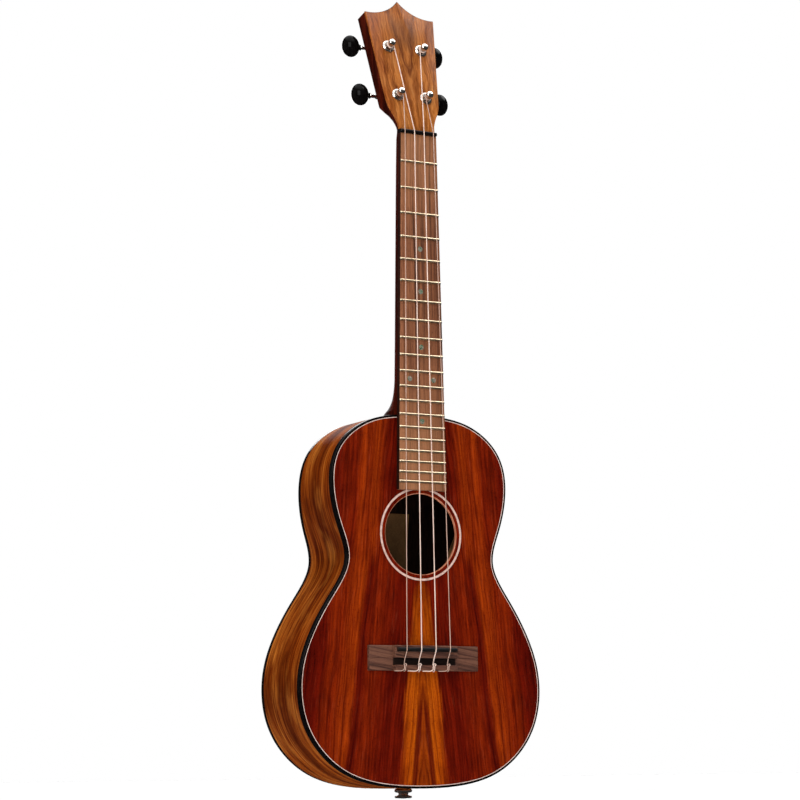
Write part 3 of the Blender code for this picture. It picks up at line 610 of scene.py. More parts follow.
def applied(target, kind, **settings):
    """Runs one modifier on the target and keeps its result."""
    modifier = target.modifiers.new(kind, kind)
    for key, value in settings.items():
        setattr(modifier, key, value)
    bpy.context.view_layer.update()
    graph = bpy.context.evaluated_depsgraph_get()
    result = bpy.data.meshes.new_from_object(target.evaluated_get(graph))
    target.modifiers.remove(modifier)
    target.data = result


def combine(target, other, operation):
    applied(target, "BOOLEAN", operation=operation, solver="EXACT", object=other)
    bpy.data.objects.remove(other, do_unlink=True)


def cut(target, bm, place=None, operation="DIFFERENCE"):
    """Cuts a shape out of the target, or joins it where the operation is UNION."""
    combine(target, solid("cutter", bm, place), operation)


def rounded(target, width, segments=3):
    sharp = math.radians(40)
    applied(target, "BEVEL", width=width * MM, segments=segments, limit_method="ANGLE", angle_limit=sharp)


def skin(rings, closed_path=False, bm=None):
    """Joins equal rings of points. The path of rings is open with capped ends, or closed."""
    if bm is None:
        bm = bmesh.new()
    made = [[bm.verts.new(point) for point in ring] for ring in rings]
    pairs = list(zip(made, made[1:]))
    if closed_path:
        pairs.append((made[-1], made[0]))
    for first, second in pairs:
        for i in range(len(first)):
            j = (i + 1) % len(first)
            bm.faces.new((first[i], first[j], second[j], second[i]))
    if not closed_path:
        bm.faces.new(made[0])
        bm.faces.new(made[-1])
    return bm


def extruded(points, low, high):
    return skin([[(x, y, level) for x, y in points] for level in (low, high)])


def box(low, high):
    corners = [(low[0], low[1]), (high[0], low[1]), (high[0], high[1]), (low[0], high[1])]
    return extruded(corners, low[2], high[2])


def round_angles(steps):
    return [FULL_TURN * i / steps for i in range(steps)]


def turned(profile, steps=48):
    """Turns (radius, height) pairs about local Z into a capped solid."""
    return skin([[(r * math.cos(a), r * math.sin(a), h) for a in round_angles(steps)] for r, h in profile])


def tube(path, radius, steps):
    """A round tube along a path of points, turning with it and capped at both ends."""
    points = [Vector(p) for p in path]
    rings = []
    normal = Vector((0.577, 0.577, 0.577))
    for i, point in enumerate(points):
        ahead = points[min(i + 1, len(points) - 1)]
        behind = points[max(i - 1, 0)]
        tangent = (ahead - behind).normalized()
        normal = (normal - tangent * normal.dot(tangent)).normalized()
        across = tangent.cross(normal)
        rings.append([point + (normal * math.cos(a) + across * math.sin(a)) * radius
                      for a in round_angles(steps)])
    return skin(rings)


def smooth_path(points, steps):
    """A Catmull-Rom curve through points, centripetal so that it never loops."""
    points = [np.array(p, dtype=float) for p in points]
    padded = [2 * points[0] - points[1]] + points + [2 * points[-1] - points[-2]]
    path = []
    for k in range(1, len(padded) - 2):
        near = padded[k - 1:k + 3]
        knots = [0]
        for before, after in zip(near, near[1:]):
            knots.append(knots[-1] + max(np.linalg.norm(after - before), 1e-6) ** 0.5)
        for t in np.linspace(knots[1], knots[2], steps, endpoint=False):
            level = near
            for spans in (((0, 1), (1, 2), (2, 3)), ((0, 2), (1, 3)), ((1, 2),)):
                ends = [(knots[i], knots[j]) for i, j in spans]
                level = [(a * (high - t) + b * (t - low)) / (high - low)
                         for a, b, (low, high) in zip(level, level[1:], ends)]
            path.append(tuple(level[0]))
    path.append(tuple(points[-1]))
    return path


def frame_of(origin, x_axis, y_axis, z_axis):
    turn = Matrix((x_axis, y_axis, z_axis)).transposed().to_4x4()
    return Matrix.Translation(origin) @ turn


# ---------------- body outline

def spline_through(points, steps):
    """A smooth closed curve through points, with its tangents, as two arrays."""
    points = np.array(points, dtype=float)
    count = len(points)
    chord = np.linalg.norm(np.roll(points, -1, axis=0) - points, axis=1) ** 0.5
    system = np.zeros((count, count))
    known = np.zeros((count, 2))
    for i in range(count):
        behind, ahead = chord[i - 1], chord[i]
        system[i, (i - 1) % count] += ahead
        system[i, i] += 2 * (behind + ahead)
        system[i, (i + 1) % count] += behind
        back_slope = (points[i] - points[i - 1]) / behind
        next_slope = (points[(i + 1) % count] - points[i]) / ahead
        known[i] = 3 * (ahead * back_slope + behind * next_slope)
    slopes = np.linalg.solve(system, known)
    # Hermite weights of both ends' places and slopes, and the rates at which they change
    t = np.arange(steps) / steps
    t2, t3 = t**2, t**3
    weights = np.stack([2 * t3 - 3 * t2 + 1, t3 - 2 * t2 + t, 3 * t2 - 2 * t3, t3 - t2])
    rates = np.stack([6 * t2 - 6 * t, 3 * t2 - 4 * t + 1, 6 * t - 6 * t2, 3 * t2 - 2 * t])
    curve, tangents = [], []
    for i in range(count):
        j = (i + 1) % count
        ends = np.array([points[i], chord[i] * slopes[i], points[j], chord[i] * slopes[j]])
        curve.append(weights.T @ ends)
        tangents.append(rates.T @ ends)
    return np.concatenate(curve), np.concatenate(tangents)


def body_outline(inset):
    """The treble half of the outline, from the top to the tail, moved inwards."""
    mirrored = [(-x, z) for x, z in reversed(OUTLINE[1:-1])]
    curve, tangents = spline_through(list(OUTLINE) + mirrored, OUTLINE_STEPS)
    half = (len(OUTLINE) - 1) * OUTLINE_STEPS + 1
    curve, tangents = curve[:half], tangents[:half]
    outward = np.stack([-tangents[:, 1], tangents[:, 0]], axis=1)
    outward /= np.linalg.norm(outward, axis=1)[:, None]
    moved = curve - outward * inset
    moved[0, 0] = 0
    moved[-1, 0] = 0
    return [(float(x), float(z)) for x, z in moved]


def whole_outline(inset):
    half = body_outline(inset)
    return half + [(-x, z) for x, z in reversed(half[1:-1])]


def back_depth(z):
    """The back arches from the shallow heel down to a flat lower half."""
    t = min(max((ARCH_TOP - z) / (ARCH_TOP - ARCH_BOTTOM), 0), 1)
    return DEPTH_AT_HEEL + (DEPTH_AT_TAIL - DEPTH_AT_HEEL) * 0.5 * (1 - math.cos(math.pi * t))


def rim_band(profile, from_back=False):
    """A closed strip round the body. Each profile entry is an inset and a depth from its plate."""
    rings = []
    lines = [whole_outline(inset) for inset, _ in profile]
    for spots in zip(*lines):
        rings.append([(x, back_depth(z) - depth if from_back else depth, z)
                      for (x, z), (_, depth) in zip(spots, profile)])
    return skin(rings, closed_path=True)


# ---------------- body

def build_top():
    """The plate, with an eased soundhole edge and the rosette's channel."""
    inner, outer = ROSETTE[0] - 0.25, ROSETTE[1] + 0.25
    channel = 0.9
    radial = [(HOLE_RADIUS, PLATE), (HOLE_RADIUS, 0.7), (HOLE_RADIUS + 0.2, 0.25),
              (HOLE_RADIUS + HOLE_EASE, 0), (inner, 0), (inner, channel), (outer, channel), (outer, 0)]
    rings = []
    for x, z in whole_outline(PURFLING_INNER):
        reach = math.hypot(x, z - HOLE_CENTRE)
        out_x, out_z = x / reach, (z - HOLE_CENTRE) / reach
        ring = [(r * out_x, y, HOLE_CENTRE + r * out_z) for r, y in radial]
        rings.append(ring + [(x, 0, z), (x, PLATE, z)])
    top = solid("top_plate", skin(rings, closed_path=True))
    settle(top, "koa_top", ["soundboard"], angle=30)
    # painted shade: the plate's underside gets the near-black inside wood
    second_finish(top, "inside", lambda at, normal: normal.y > 0.9)
    second_finish(top, "hole_edge", lambda at, normal: (-0.98 < normal.y < 0.9 and
                  math.hypot(at.x, at.z - HOLE_CENTRE) < ROSETTE[0] - 1))


def build_rosette():
    """A cream ring with a thin dark line on each side, all a hair proud of the top."""
    inner, outer = ROSETTE
    proud, floor = -0.02, 0.85
    line, gap = 0.24, 0.01
    for name, low, high, finish, replaces, slot in (
            ("rosette_cream", inner, outer, "rosette", ["rosette_ring"], "cream_trim"),
            ("rosette_line_inner", inner - line, inner - gap, "trim", [], "black_trim"),
            ("rosette_line_outer", outer + gap, outer + line, "trim", [], "black_trim")):
        profile = [(low, floor), (low, proud), (high, proud), (high, floor)]
        rings = [[(r * math.cos(a), y, HOLE_CENTRE + r * math.sin(a)) for r, y in profile]
                 for a in round_angles(160)]
        settle(solid(name, skin(rings, closed_path=True)), finish, replaces, angle=30)


def build_trim():
    """Black bindings with an eased outer edge, and the cream line inside the front one."""
    binding = [(0, BINDING_DEPTH), (0, 0.7), (0.25, 0.25), (0.7, 0), (BINDING_WIDTH, 0),
               (BINDING_WIDTH, BINDING_DEPTH)]
    settle(solid("binding_top", rim_band(binding)), "trim", ["top_binding"])
    settle(solid("binding_back", rim_band(binding, from_back=True)), "trim", ["back_binding"])
    low, high = BINDING_WIDTH + 0.02, PURFLING_INNER - 0.02
    proud, floor = -0.01, 1.5
    strip = [(low, floor), (low, proud), (high, proud), (high, floor)]
    settle(solid("purfling_cream", rim_band(strip)), "cream", ["top_purfling"])


def build_sides():
    """Two bent sides that meet at the tail seam. Each stores its rim length as its grain."""
    margin = BINDING_DEPTH + 0.03
    seam = 0.03
    middle_z = -400
    rows = 10
    outer, inner = body_outline(0), body_outline(SIDE)
    length = [0]
    for start, end in zip(outer, outer[1:]):
        length.append(length[-1] + math.dist(start, end))
    for hand, sign in (("bass", -1), ("treble", 1)):
        rings, grain = [], []
        for outside, inside, run in zip(outer, inner, length):
            ring = []
            for (x, z), order in ((outside, range(rows + 1)), (inside, range(rows, -1, -1))):
                for k in order:
                    depth = margin + (back_depth(z) - 2 * margin) * k / rows
                    ring.append((sign * max(x, seam), depth, z))
                    grain += (run, depth, 0.0)
            rings.append(ring)
        made = solid(f"side_panel_{hand}", skin(rings))
        made.data.attributes.new("grain", "FLOAT_VECTOR", "POINT").data.foreach_set("vector", grain)
        settle(made, "koa_side", [f"side_{hand}"], angle=50)
        # painted shade: the side's inner face gets the near-black inside wood
        second_finish(made, "inside", lambda at, normal: normal.x * at.x + normal.z * (at.z - middle_z) < 0)


def build_back():
    """A sheet bent along its length, with rows fine enough for its arch to look smooth."""
    columns = 8
    rings = []
    for x, z in body_outline(BINDING_WIDTH + 0.02):
        reach = max(x, 0.02)
        across = [reach * (2 * k / columns - 1) for k in range(columns + 1)]
        outside = [(a, back_depth(z) + 0.01, z) for a in across]
        inside = [(a, back_depth(z) - PLATE, z) for a in reversed(across)]
        rings.append(outside + inside)
    panel = solid("back_panel", skin(rings))
    settle(panel, "koa_back", ["back_plate"], angle=50)
    # painted shade: the back's inner face gets the near-black inside wood
    second_finish(panel, "inside", lambda at, normal: normal.y < -0.5)


def build_end_pin():
    """A spool-shaped strap pin with a cross-head screw."""
    profile = [(3.2, 0.8), (6.7, -0.35), (7.15, -0.6), (7.35, -1.2), (7.35, -2.2), (7, -2.8), (6, -3.2),
               (4.7, -3.5), (4.1, -3.9), (3.95, -4.5), (4.1, -5.1), (4.8, -5.5), (6, -5.85), (6.9, -6.1),
               (7.25, -6.5), (7.25, -7.1), (6.9, -7.6), (6.2, -7.9), (4.4, -8), (4, -7.7), (3.6, -7.6),
               (3.2, -7.95), (1.8, -8.2), (0.4, -8.25)]
    place = Matrix.Translation((0, END_PIN_DEPTH, OUTLINE[-1][1]))
    pin = solid("strap_pin", turned(profile, 64), place)
    for turn in (0, QUARTER_TURN):
        cut(pin, box((-1.9, -0.3, -8.8), (1.9, 0.3, -7.7)), place @ Matrix.Rotation(turn, 4, "Z"))
    settle(pin, "pin", ["end_pin"])


# ---------------- neck and headstock

HEAD_UP = Vector((0, math.sin(HEAD_TILT), math.cos(HEAD_TILT)))
HEAD_OUT = Vector((0, -math.cos(HEAD_TILT), math.sin(HEAD_TILT)))
HEAD_FRAME = frame_of(Vector((0, HEAD_BASE_Y, 0)), Vector((1, 0, 0)), HEAD_UP, HEAD_OUT)


def head_outline():
    """The crown: a centre peak and two corners joined by hollow arcs, on flared sides."""
    flare = [(17.3, HEAD_START), (18, 10), (20.4, 16.8), (23.4, 23), (25.2, 28.5), (25.9, 33.5)]
    flare = smooth_path(flare, 5)
    centre_x = CROWN_CORNER[0] - 3.7
    centre_s = CROWN_CORNER[1] + CROWN_RADIUS - 0.2
    arc = []
    steps = 24
    for i in range(1, steps):
        x = CROWN_CORNER[0] * (1 - i / steps)
        arc.append((x, centre_s - math.sqrt(CROWN_RADIUS**2 - (centre_x - x) ** 2)))
    right = flare + [CROWN_CORNER] + arc
    left = [(-x, s) for x, s in reversed(right)]
    return right + [(0, CROWN_PEAK)] + left


def head_slab(name, front, back):
    return solid(name, extruded(head_outline(), front, back), HEAD_FRAME)


NECK_STATIONS = (
    # height, front, half width, depth, squareness of the section
    (14, 4.6, 13.8, 5.5, 2.2),
    (3.5, 1, 16.4, 11.3, 2.2),
    (3.4, 0, 16.6, 12.3, 2.2),
    (-4, 0, 17.2, 13.6, 2.2),
    (-30, 0, 17.8, 14.2, 2.2),
    (-200, 0, 20.9, 16.8, 2.2),
    (-212, 0, 21.2, 18.2, 2.1),
    (-220, 0, 21.6, 21.5, 2),
    (-226, 0, 22, 26.5, 1.9),
    (-230, 0, 22.6, 33, 1.8),
    (-233, 0, 23.2, 41, 1.7),
    (-235, 0, 23.8, 48.5, 1.65),
    (-236.5, 0, 24.2, 52, 1.6),
    (-246, 0, 24.4, 53, 1.6),
)
SHARP_STATIONS = 3


def neck_section(z, front, half, depth, power):
    """A flat front with a rounded back, as a superellipse half."""
    ring = []
    steps = 40
    for i in range(steps + 1):
        a = math.pi * i / steps
        x = half * math.copysign(abs(math.cos(a)) ** (2 / power), math.cos(a))
        ring.append((x, front + depth * math.sin(a) ** (2 / power), z))
    return ring


# The throat rounds the headstock's back where it runs into the neck. Above it the sections are
# larger than the headstock, so they leave it square.
THROAT = (
    # along the headstock, half width, depth, squareness of the section
    (3, 17.3, 11.6, 1.9),
    (9, 17.9, 12, 1.9),
    (16.8, 20.7, 12.4, 2.3),
    (23, 23.7, 13.2, 3.4),
    (28.5, 25.5, 14, 7),
    (34, 27, 16, 14),
)
CLEAR_OF_HEAD = ((38, 60, 30, 14), (140, 60, 30, 14))


def build_throat():
    """Sections in the headstock's own frame: straight walls in front, a rounded back."""
    front = 5
    rings = []
    for along, half, depth, power in (*smooth_path(THROAT, 5), *CLEAR_OF_HEAD):
        back = [(x, along, -HEADPLATE - down) for x, down, _ in neck_section(0, 0, half, depth, power)]
        rings.append([(half, along, front), *back, (-half, along, front)])
    return skin(rings)


def build_neck():
    stations = (*NECK_STATIONS[:SHARP_STATIONS], *smooth_path(NECK_STATIONS[SHARP_STATIONS:], 6))
    neck = solid("neck_shaft", skin([neck_section(*station) for station in stations]))
    slab = head_slab("slab", -HEADPLATE - 0.05, -HEAD_THICKNESS)
    rounded(slab, 0.8)
    cut(slab, build_throat(), HEAD_FRAME, "INTERSECT")
    combine(neck, slab, "UNION")
    cut(neck, skin([[(x, y, z) for x, z in whole_outline(-0.05)] for y in (-20, 90)]))
    plate = head_slab("headplate_veneer", 0, -HEADPLATE)
    rounded(plate, 0.35, 2)
    hole = BARREL[1] + 0.1
    for target in (neck, plate):
        for side, x, along in POSTS.values():
            cut(target, turned([(hole, -30), (hole, 10)]), post_frame(side, x, along))
    settle(neck, "mahogany", ["neck"])
    settle(plate, "koa_headplate", ["headplate"], angle=30)
    second_finish(plate, "board_edge", lambda at, normal: normal.z > 0.35 and at.z > 100)


def post_frame(side, x, along):
    return HEAD_FRAME @ Matrix.Translation((side * x, along, 0))


# ---------------- fretboard

def fret_height(number):
    """Distance of a fret below the nut, by the equal-tempered rule."""
    return -SCALE_LENGTH * (1 - 2 ** (-number / 12))


def fretboard_half_width(z):
    return NUT_HALF_WIDTH + (LAST_FRET_HALF_WIDTH - NUT_HALF_WIDTH) * z / fret_height(FRET_COUNT)


def build_fretboard():
    rings = []
    for z in (-0.01, FRETBOARD_END):
        half = fretboard_half_width(z)
        rings.append([(-half, 0, z), (half, 0, z), (half, -FRETBOARD_THICKNESS, z),
                      (-half, -FRETBOARD_THICKNESS, z)])
    board = solid("fingerboard", skin(rings))
    rounded(board, 0.55)
    settle(board, "fretboard", ["fretboard"])
    second_finish(board, "board_edge", lambda at, normal: abs(normal.x) > 0.3)


def build_frets():
    """Crowned wires with rounded ends, each on a thin tang let into the board."""
    wires = bmesh.new()
    crown, radius, tang = 1.15, 1.2, 1.6
    base = -FRETBOARD_THICKNESS + 0.05
    ends = ((-1, 0.25), (-0.985, 0.72), (-0.96, 0.95), (-0.93, 1))
    ends += tuple((-reach, share) for reach, share in reversed(ends))
    for number in range(1, FRET_COUNT + 1):
        z = fret_height(number)
        half = fretboard_half_width(z) - 0.15
        rings = []
        for reach, share in ends:
            arc = [(base - crown * share * math.sin(a), z + radius * math.cos(a))
                   for a in (math.pi * i / 12 for i in range(13))]
            arc += [(base, z - 0.27), (base + tang, z - 0.25), (base + tang, z + 0.25), (base, z + 0.27)]
            rings.append([(reach * half, y, level) for y, level in arc])
        skin(rings, bm=wires)
    nodes = [f"fret_{number:02d}" for number in range(1, FRET_COUNT + 1)]
    settle(solid("fret_wires", wires), "fret", nodes, angle=50)


def build_dots():
    """Shell position markers: one at frets 5, 7, 10 and 15, and two at fret 12."""
    wide = 11.4
    profile = [(2.25, 1), (2.25, 0.02), (2.1, 0), (0.5, 0)]
    for number, spots in ((5, (0,)), (7, (0,)), (10, (0,)), (12, (-wide, wide)), (15, (0,))):
        z = 0.5 * (fret_height(number - 1) + fret_height(number))
        for index, x in enumerate(spots):
            face = Vector((x, -FRETBOARD_THICKNESS - 0.03, z))
            place = frame_of(face, Vector((1, 0, 0)), Vector((0, 0, -1)), Vector((0, 1, 0)))
            settle(solid(f"dot_{number}_{index + 1}", turned(profile), place), "abalone", [])


def build_nut():
    """A sloped black nut with one rounded groove for each string."""
    front = 0.05
    ends = {side * (NUT_HALF_WIDTH - inset) for side in (-1, 1) for inset in (0, 0.4)}
    grooves = {nut_x(i) + d for i in range(4) for d in np.linspace(-0.9, 0.9, 13)}
    rings = []
    for x in sorted(ends | grooves):
        drop = 0
        for index, radius in enumerate(STRING_RADII):
            share = abs(x - nut_x(index)) / (radius + 0.15)
            if share < 1:
                drop = 0.75 * math.sqrt(1 - share**2)
        end = 0.3 if abs(x) > NUT_HALF_WIDTH - 0.1 else 0
        top = NUT_TOP + drop + end
        back = NUT_BACK - end
        rings.append([(x, y, z) for y, z in (
            (-0.05, front + end), (top + 0.6, front + end), (top + 0.15, 0.25 + end), (top, 0.7),
            (top, back - 1.1), (top + 0.35, back - 0.4), (top + 1.2, back), (-0.05, back))])
    settle(solid("nut_bar", skin(rings)), "nut", ["nut"])


# ---------------- bridge

def saddle_x(index):
    return (index - 1.5) * SADDLE_STRING_SPACING


def nut_x(index):
    return (index - 1.5) * NUT_STRING_SPACING


def bridge_height(x, z):
    """How far the bridge stands off the top at a place, before its tie holes."""
    half = abs(x)
    ease = 0.9
    end = BRIDGE_HALF - half
    height = BRIDGE_WING
    if end < ease:
        height += math.sqrt(max(0, ease**2 - (ease - end) ** 2)) - ease
    centre = BRIDGE_CENTRE
    if CHANNEL[1] < z < CHANNEL[0]:
        centre = 2.6
    elif abs(z - SADDLE_Z) < SADDLE_SLOT and half < BRIDGE_CENTRE_HALF - SADDLE_INSET:
        centre = 3.4
    rise = min(max((BRIDGE_CENTRE_HALF + 0.6 - half) / 0.9, 0), 1)
    if rise >= 1:
        height = centre
    elif centre > height:
        height += (centre - height) * math.sin(QUARTER_TURN * rise)
    for edge, ease in ((BRIDGE_TOP - z, 0.9), (z - BRIDGE_BOTTOM, 0.9), (CHANNEL[1] - z, 0.6),
                       (z - CHANNEL[0], 0.6)):
        if 0 <= edge < ease:
            height -= ease - math.sqrt(ease**2 - (ease - edge) ** 2)
    return height


def feature_lines(low, high, edges, step):
    """Grid positions from low to high, with a close pair and an easing at every edge."""
    places = set(np.arange(low, high, step)) | {low, high}
    for edge in edges:
        for shift in (0.01, 0.15, 0.35, 0.6, 0.9):
            places |= {place for place in (edge - shift, edge + shift) if low < place < high}
    kept = []
    for place in sorted(float(p) for p in places):
        if not kept or place - kept[-1] > 0.015:
            kept.append(place)
    kept[-1] = high
    return kept


def build_bridge():
    """Low wings, a raised centre with a saddle slot, a channel and a drilled tie block."""
    slot_end = BRIDGE_CENTRE_HALF - SADDLE_INSET
    edges = [side * x for side in (-1, 1) for x in (BRIDGE_HALF, BRIDGE_CENTRE_HALF, slot_end)]
    xs = feature_lines(-BRIDGE_HALF, BRIDGE_HALF, edges, 4)
    edges = [BRIDGE_BOTTOM, *CHANNEL, SADDLE_Z - SADDLE_SLOT, SADDLE_Z + SADDLE_SLOT, BRIDGE_TOP]
    zs = feature_lines(BRIDGE_BOTTOM, BRIDGE_TOP, edges, 2)
    bm = bmesh.new()
    upper = [[bm.verts.new((x, -bridge_height(x, z), z)) for z in zs] for x in xs]
    lower = [[bm.verts.new((x, -0.02, z)) for z in zs] for x in xs]
    last_x, last_z = len(xs) - 1, len(zs) - 1
    for i in range(last_x):
        for k in range(last_z):
            for layer in (upper, lower):
                bm.faces.new((layer[i][k], layer[i + 1][k], layer[i + 1][k + 1], layer[i][k + 1]))
    rim = [(i, 0) for i in range(last_x)] + [(last_x, k) for k in range(last_z)]
    rim += [(i, last_z) for i in range(last_x, 0, -1)] + [(0, k) for k in range(last_z, 0, -1)]
    for (i, k), (j, m) in zip(rim, rim[1:] + rim[:1]):
        bm.faces.new((upper[i][k], upper[j][m], lower[j][m], lower[i][k]))
    bridge = solid("bridge_block", bm)
    for index in range(4):
        place = Matrix.Translation((saddle_x(index), TIE_HOLE_Y, BRIDGE_BOTTOM - 3))
        cut(bridge, turned([(TIE_HOLE_RADIUS, 0), (TIE_HOLE_RADIUS, 8.5)], 24), place)
    settle(bridge, "bridge", ["bridge"])


def build_saddle():
    low, high = SADDLE_Z - SADDLE_HALF_THICKNESS, SADDLE_Z + SADDLE_HALF_THICKNESS
    foot = -3.45
    half = BRIDGE_CENTRE_HALF - SADDLE_INSET - 0.2
    rings = []
    for x in (-half, -half + 0.3, *np.linspace(-half + 1, half - 1, 24), half - 0.3, half):
        end = 0.35 if abs(x) > half - 0.1 else 0
        top = SADDLE_TOP + end
        rings.append([(x, y, z) for y, z in (
            (foot, low + end), (top + 0.9, low + end), (top + 0.3, low + 0.35 + end), (top, SADDLE_Z - 0.6),
            (top, SADDLE_Z + 0.6), (top + 0.3, high - 0.35 - end), (top + 0.9, high - end),
            (foot, high - end))])
    settle(solid("saddle_bar", skin(rings)), "saddle", ["saddle"])


# ---------------- strings

def tie_path(x, lift, step, reach):
    """The tail, the loop round the tie block and the way through its hole to the channel."""
    over = -BRIDGE_CENTRE - lift
    rear = BRIDGE_BOTTOM - lift
    front = CHANNEL[1]
    middle = 0.5 * (BRIDGE_BOTTOM + front)
    left = x - 2 * step
    return [
        (left - reach, over + 0.9, rear + 0.15), (left - 0.6 * reach, over + 0.95, rear + 0.1),
        (left - 1.6, over + 0.75, rear + 0.25), (left, over + 0.1, BRIDGE_BOTTOM + 1),
        (left + 0.2, over, middle), (left + 0.5, over + 0.1, front - 0.5),
        (x - 0.9 * step, over + 0.9, front + 0.7), (x + 0.9 * step, over + 0.2, front + 1),
        (x + 1.1 * step, over - 0.7, front + 0.2), (x + 0.2, over - 0.5, front - 0.6),
        (x + 0.1, over, middle), (x, over + 0.2, BRIDGE_BOTTOM + 0.7), (x, over + 1.3, rear),
        (x, TIE_HOLE_Y - 0.7, rear - 0.1), (x, TIE_HOLE_Y, BRIDGE_BOTTOM + 0.8),
        (x, TIE_HOLE_Y, front - 0.8), (x, TIE_HOLE_Y - 0.5, front + 0.6),
        (x, over + 0.5, CHANNEL[0] + 0.1), (x, over - 0.15, CHANNEL[0] + 1.2),
    ]


def string_route(index, radius, tail_reach):
    """The whole string in one path: tail, tie, saddle, nut and the winding on its post."""
    x, at_nut = saddle_x(index), nut_x(index)
    lift = radius + 0.05
    over_saddle = SADDLE_TOP - lift
    over_nut = NUT_TOP + 0.70 - lift
    route = tie_path(x, lift, 1.1 * radius + 0.25, tail_reach) + [
        (x, over_saddle + 0.45, SADDLE_Z - 1.5), (x, over_saddle, SADDLE_Z - 0.3),
        (x, over_saddle, SADDLE_Z + 0.5), (x, over_saddle + 0.04, SADDLE_Z + 6),
        (at_nut, over_nut - 0.02, -1.5), (at_nut, over_nut, 0.7), (at_nut, over_nut + 0.02, NUT_BACK - 1),
    ]
    side, post_x, along = POSTS[str(index + 1)]
    wrap = POST_WAIST + 0.06 + radius
    turns, steps, top, drop = 1.25, 24, 4.6, 2 * radius + 0.10
    winding = []
    for i in range(int(turns * steps) + 1):
        turn = i / steps
        a = FULL_TURN * turn
        spot = Vector((side * (post_x - wrap * math.cos(a)), along + wrap * math.sin(a), top - drop * turn))
        winding.append(tuple(HEAD_FRAME @ spot))
    return smooth_path(route, 6) + winding


def build_strings():
    finishes = ("thin_string", "thick_string", "thick_string", "thin_string")
    tails = (8.6, 9.6, 9.2, 8)
    for index, (radius, finish, tail) in enumerate(zip(STRING_RADII, finishes, tails)):
        line = solid(f"string_line_{index + 1}", tube(string_route(index, radius, tail), radius, 14))
        settle(line, finish, [f"string_{index + 1}"], angle=60)


# ---------------- tuners

def gear_outline():
    """A spur gear with a tooth gap on its +Y side, where the worm's thread sits."""
    points = []
    root, tip = GEAR_PITCH_RADIUS - DEDENDUM, GEAR_PITCH_RADIUS + ADDENDUM
    half_root = 0.5 * (TOOTH_THICKNESS + 0.55) / root
    half_tip = 0.5 * (TOOTH_THICKNESS - 0.40) / tip
    flank = [(root, -half_root), (root + 0.5, -0.8 * half_root), (GEAR_PITCH_RADIUS, -0.62 * half_root),
             (tip, -half_tip)]
    flank += [(radius, -angle) for radius, angle in reversed(flank)]
    for tooth in range(GEAR_TEETH):
        middle = QUARTER_TURN + (tooth + 0.5) * FULL_TURN / GEAR_TEETH
        points += [(r * math.cos(middle + a), r * math.sin(middle + a)) for r, a in flank]
    return points


def build_post(number, place):
    """The string post, domed and waisted, with its gear, its screw slot and its string hole."""
    level = WORM_LEVEL
    profile = [(1.2, level - 2.75), (2.1, level - 2.6), (POST_RADIUS - 0.3, level - 2.3),
               (POST_RADIUS, level - 1.9), (POST_RADIUS, 1.9), (POST_RADIUS - 0.15, 2.15), (POST_WAIST, 2.6),
               (POST_WAIST, 5.9), (2.75, 6.15), (3, 6.35), (3.12, 6.7), (3.12, 7.9), (3, 8.4),
               (2.7, 8.8), (2.1, 9.1), (1.2, 9.25), (0.3, 9.3)]
    post = solid(f"tuner_shaft_{number}", turned(profile), place)
    gear = extruded(gear_outline(), level - GEAR_HALF_THICKNESS, level + GEAR_HALF_THICKNESS)
    cut(post, gear, place, "UNION")
    cut(post, box((-2.2, -0.35, level - 3.2), (2.2, 0.35, level - 2.2)), place)
    eye = place @ Matrix.Translation((0, 0, 7.3)) @ Matrix.Rotation(QUARTER_TURN, 4, "Y")
    cut(post, turned([(0.75, -6), (0.75, 6)], 20), eye)
    settle(post, "nickel", [f"tuner_post_{number}"], body=f"post_{number}")


def build_button(number, place, side):
    """A waisted black button on its nickel shaft, with the worm at the shaft's inner end."""
    neck = BUTTON_REACH - BUTTON[0] - 1.2
    stations = [(neck - 0.5, 1.9, 1.9), (neck - 0.45, 2.45, 2.4), (neck + 0.3, 2.75, 2.6),
                (neck + 1.2, 2.9, 2.6)]
    for i in range(5, 32):
        a = math.pi * i / 32
        fullness = math.sin(a) ** 0.8
        stations.append((BUTTON_REACH - BUTTON[0] * math.cos(a), BUTTON[1] * fullness, BUTTON[2] * fullness))
    rings = [[(side * x, wide * math.cos(a), deep * math.sin(a)) for a in round_angles(48)]
             for x, wide, deep in stations]
    button_body = f"button_{number}"
    knob = solid(f"tuner_knob_{number}", skin(rings), place)
    settle(knob, "buttons", [f"tuner_button_{number}"], body=button_body, angle=60)

    r = SHAFT_RADIUS
    profile = [(r - 0.3, -6.9), (r, -6.6), (r, 8.2), (2.15, 8.25), (2.3, 9), (2.15, 9.6), (r, 9.65),
               (r, neck - 1.9), (2.3, neck - 1.85), (2.55, neck - 1.5), (2.55, neck - 1),
               (2.3, neck - 0.65), (r, neck - 0.6), (r, neck + 1)]
    outward = place @ Matrix.Rotation(QUARTER_TURN * side, 4, "Y")
    shaft = solid(f"tuner_worm_{number}", turned(profile, 32), outward)
    cut(shaft, worm_thread(side), place, "UNION")
    settle(shaft, "nickel", [], body=button_body)


def worm_thread(side):
    """A helical ridge about local X, centred where it faces the gear on the -Y side."""
    steps = 32
    crest, base = WORM_PITCH_RADIUS + ADDENDUM, SHAFT_RADIUS - 0.4
    at_crest, at_base = 0.5 * (TOOTH_THICKNESS - 0.4), 0.5 * (TOOTH_THICKNESS + 0.5)
    ridge = ((base, -at_base), (crest, -at_crest), (crest, at_crest), (base, at_base))
    half = int(THREAD_TURNS * steps / 2)
    rings = []
    for i in range(-half, half + 1):
        phase = FULL_TURN * i / steps
        x = THREAD_PITCH * i / steps
        rings.append([(side * (x + dx), -r * math.cos(phase), -r * math.sin(phase)) for r, dx in ridge])
    return skin(rings)


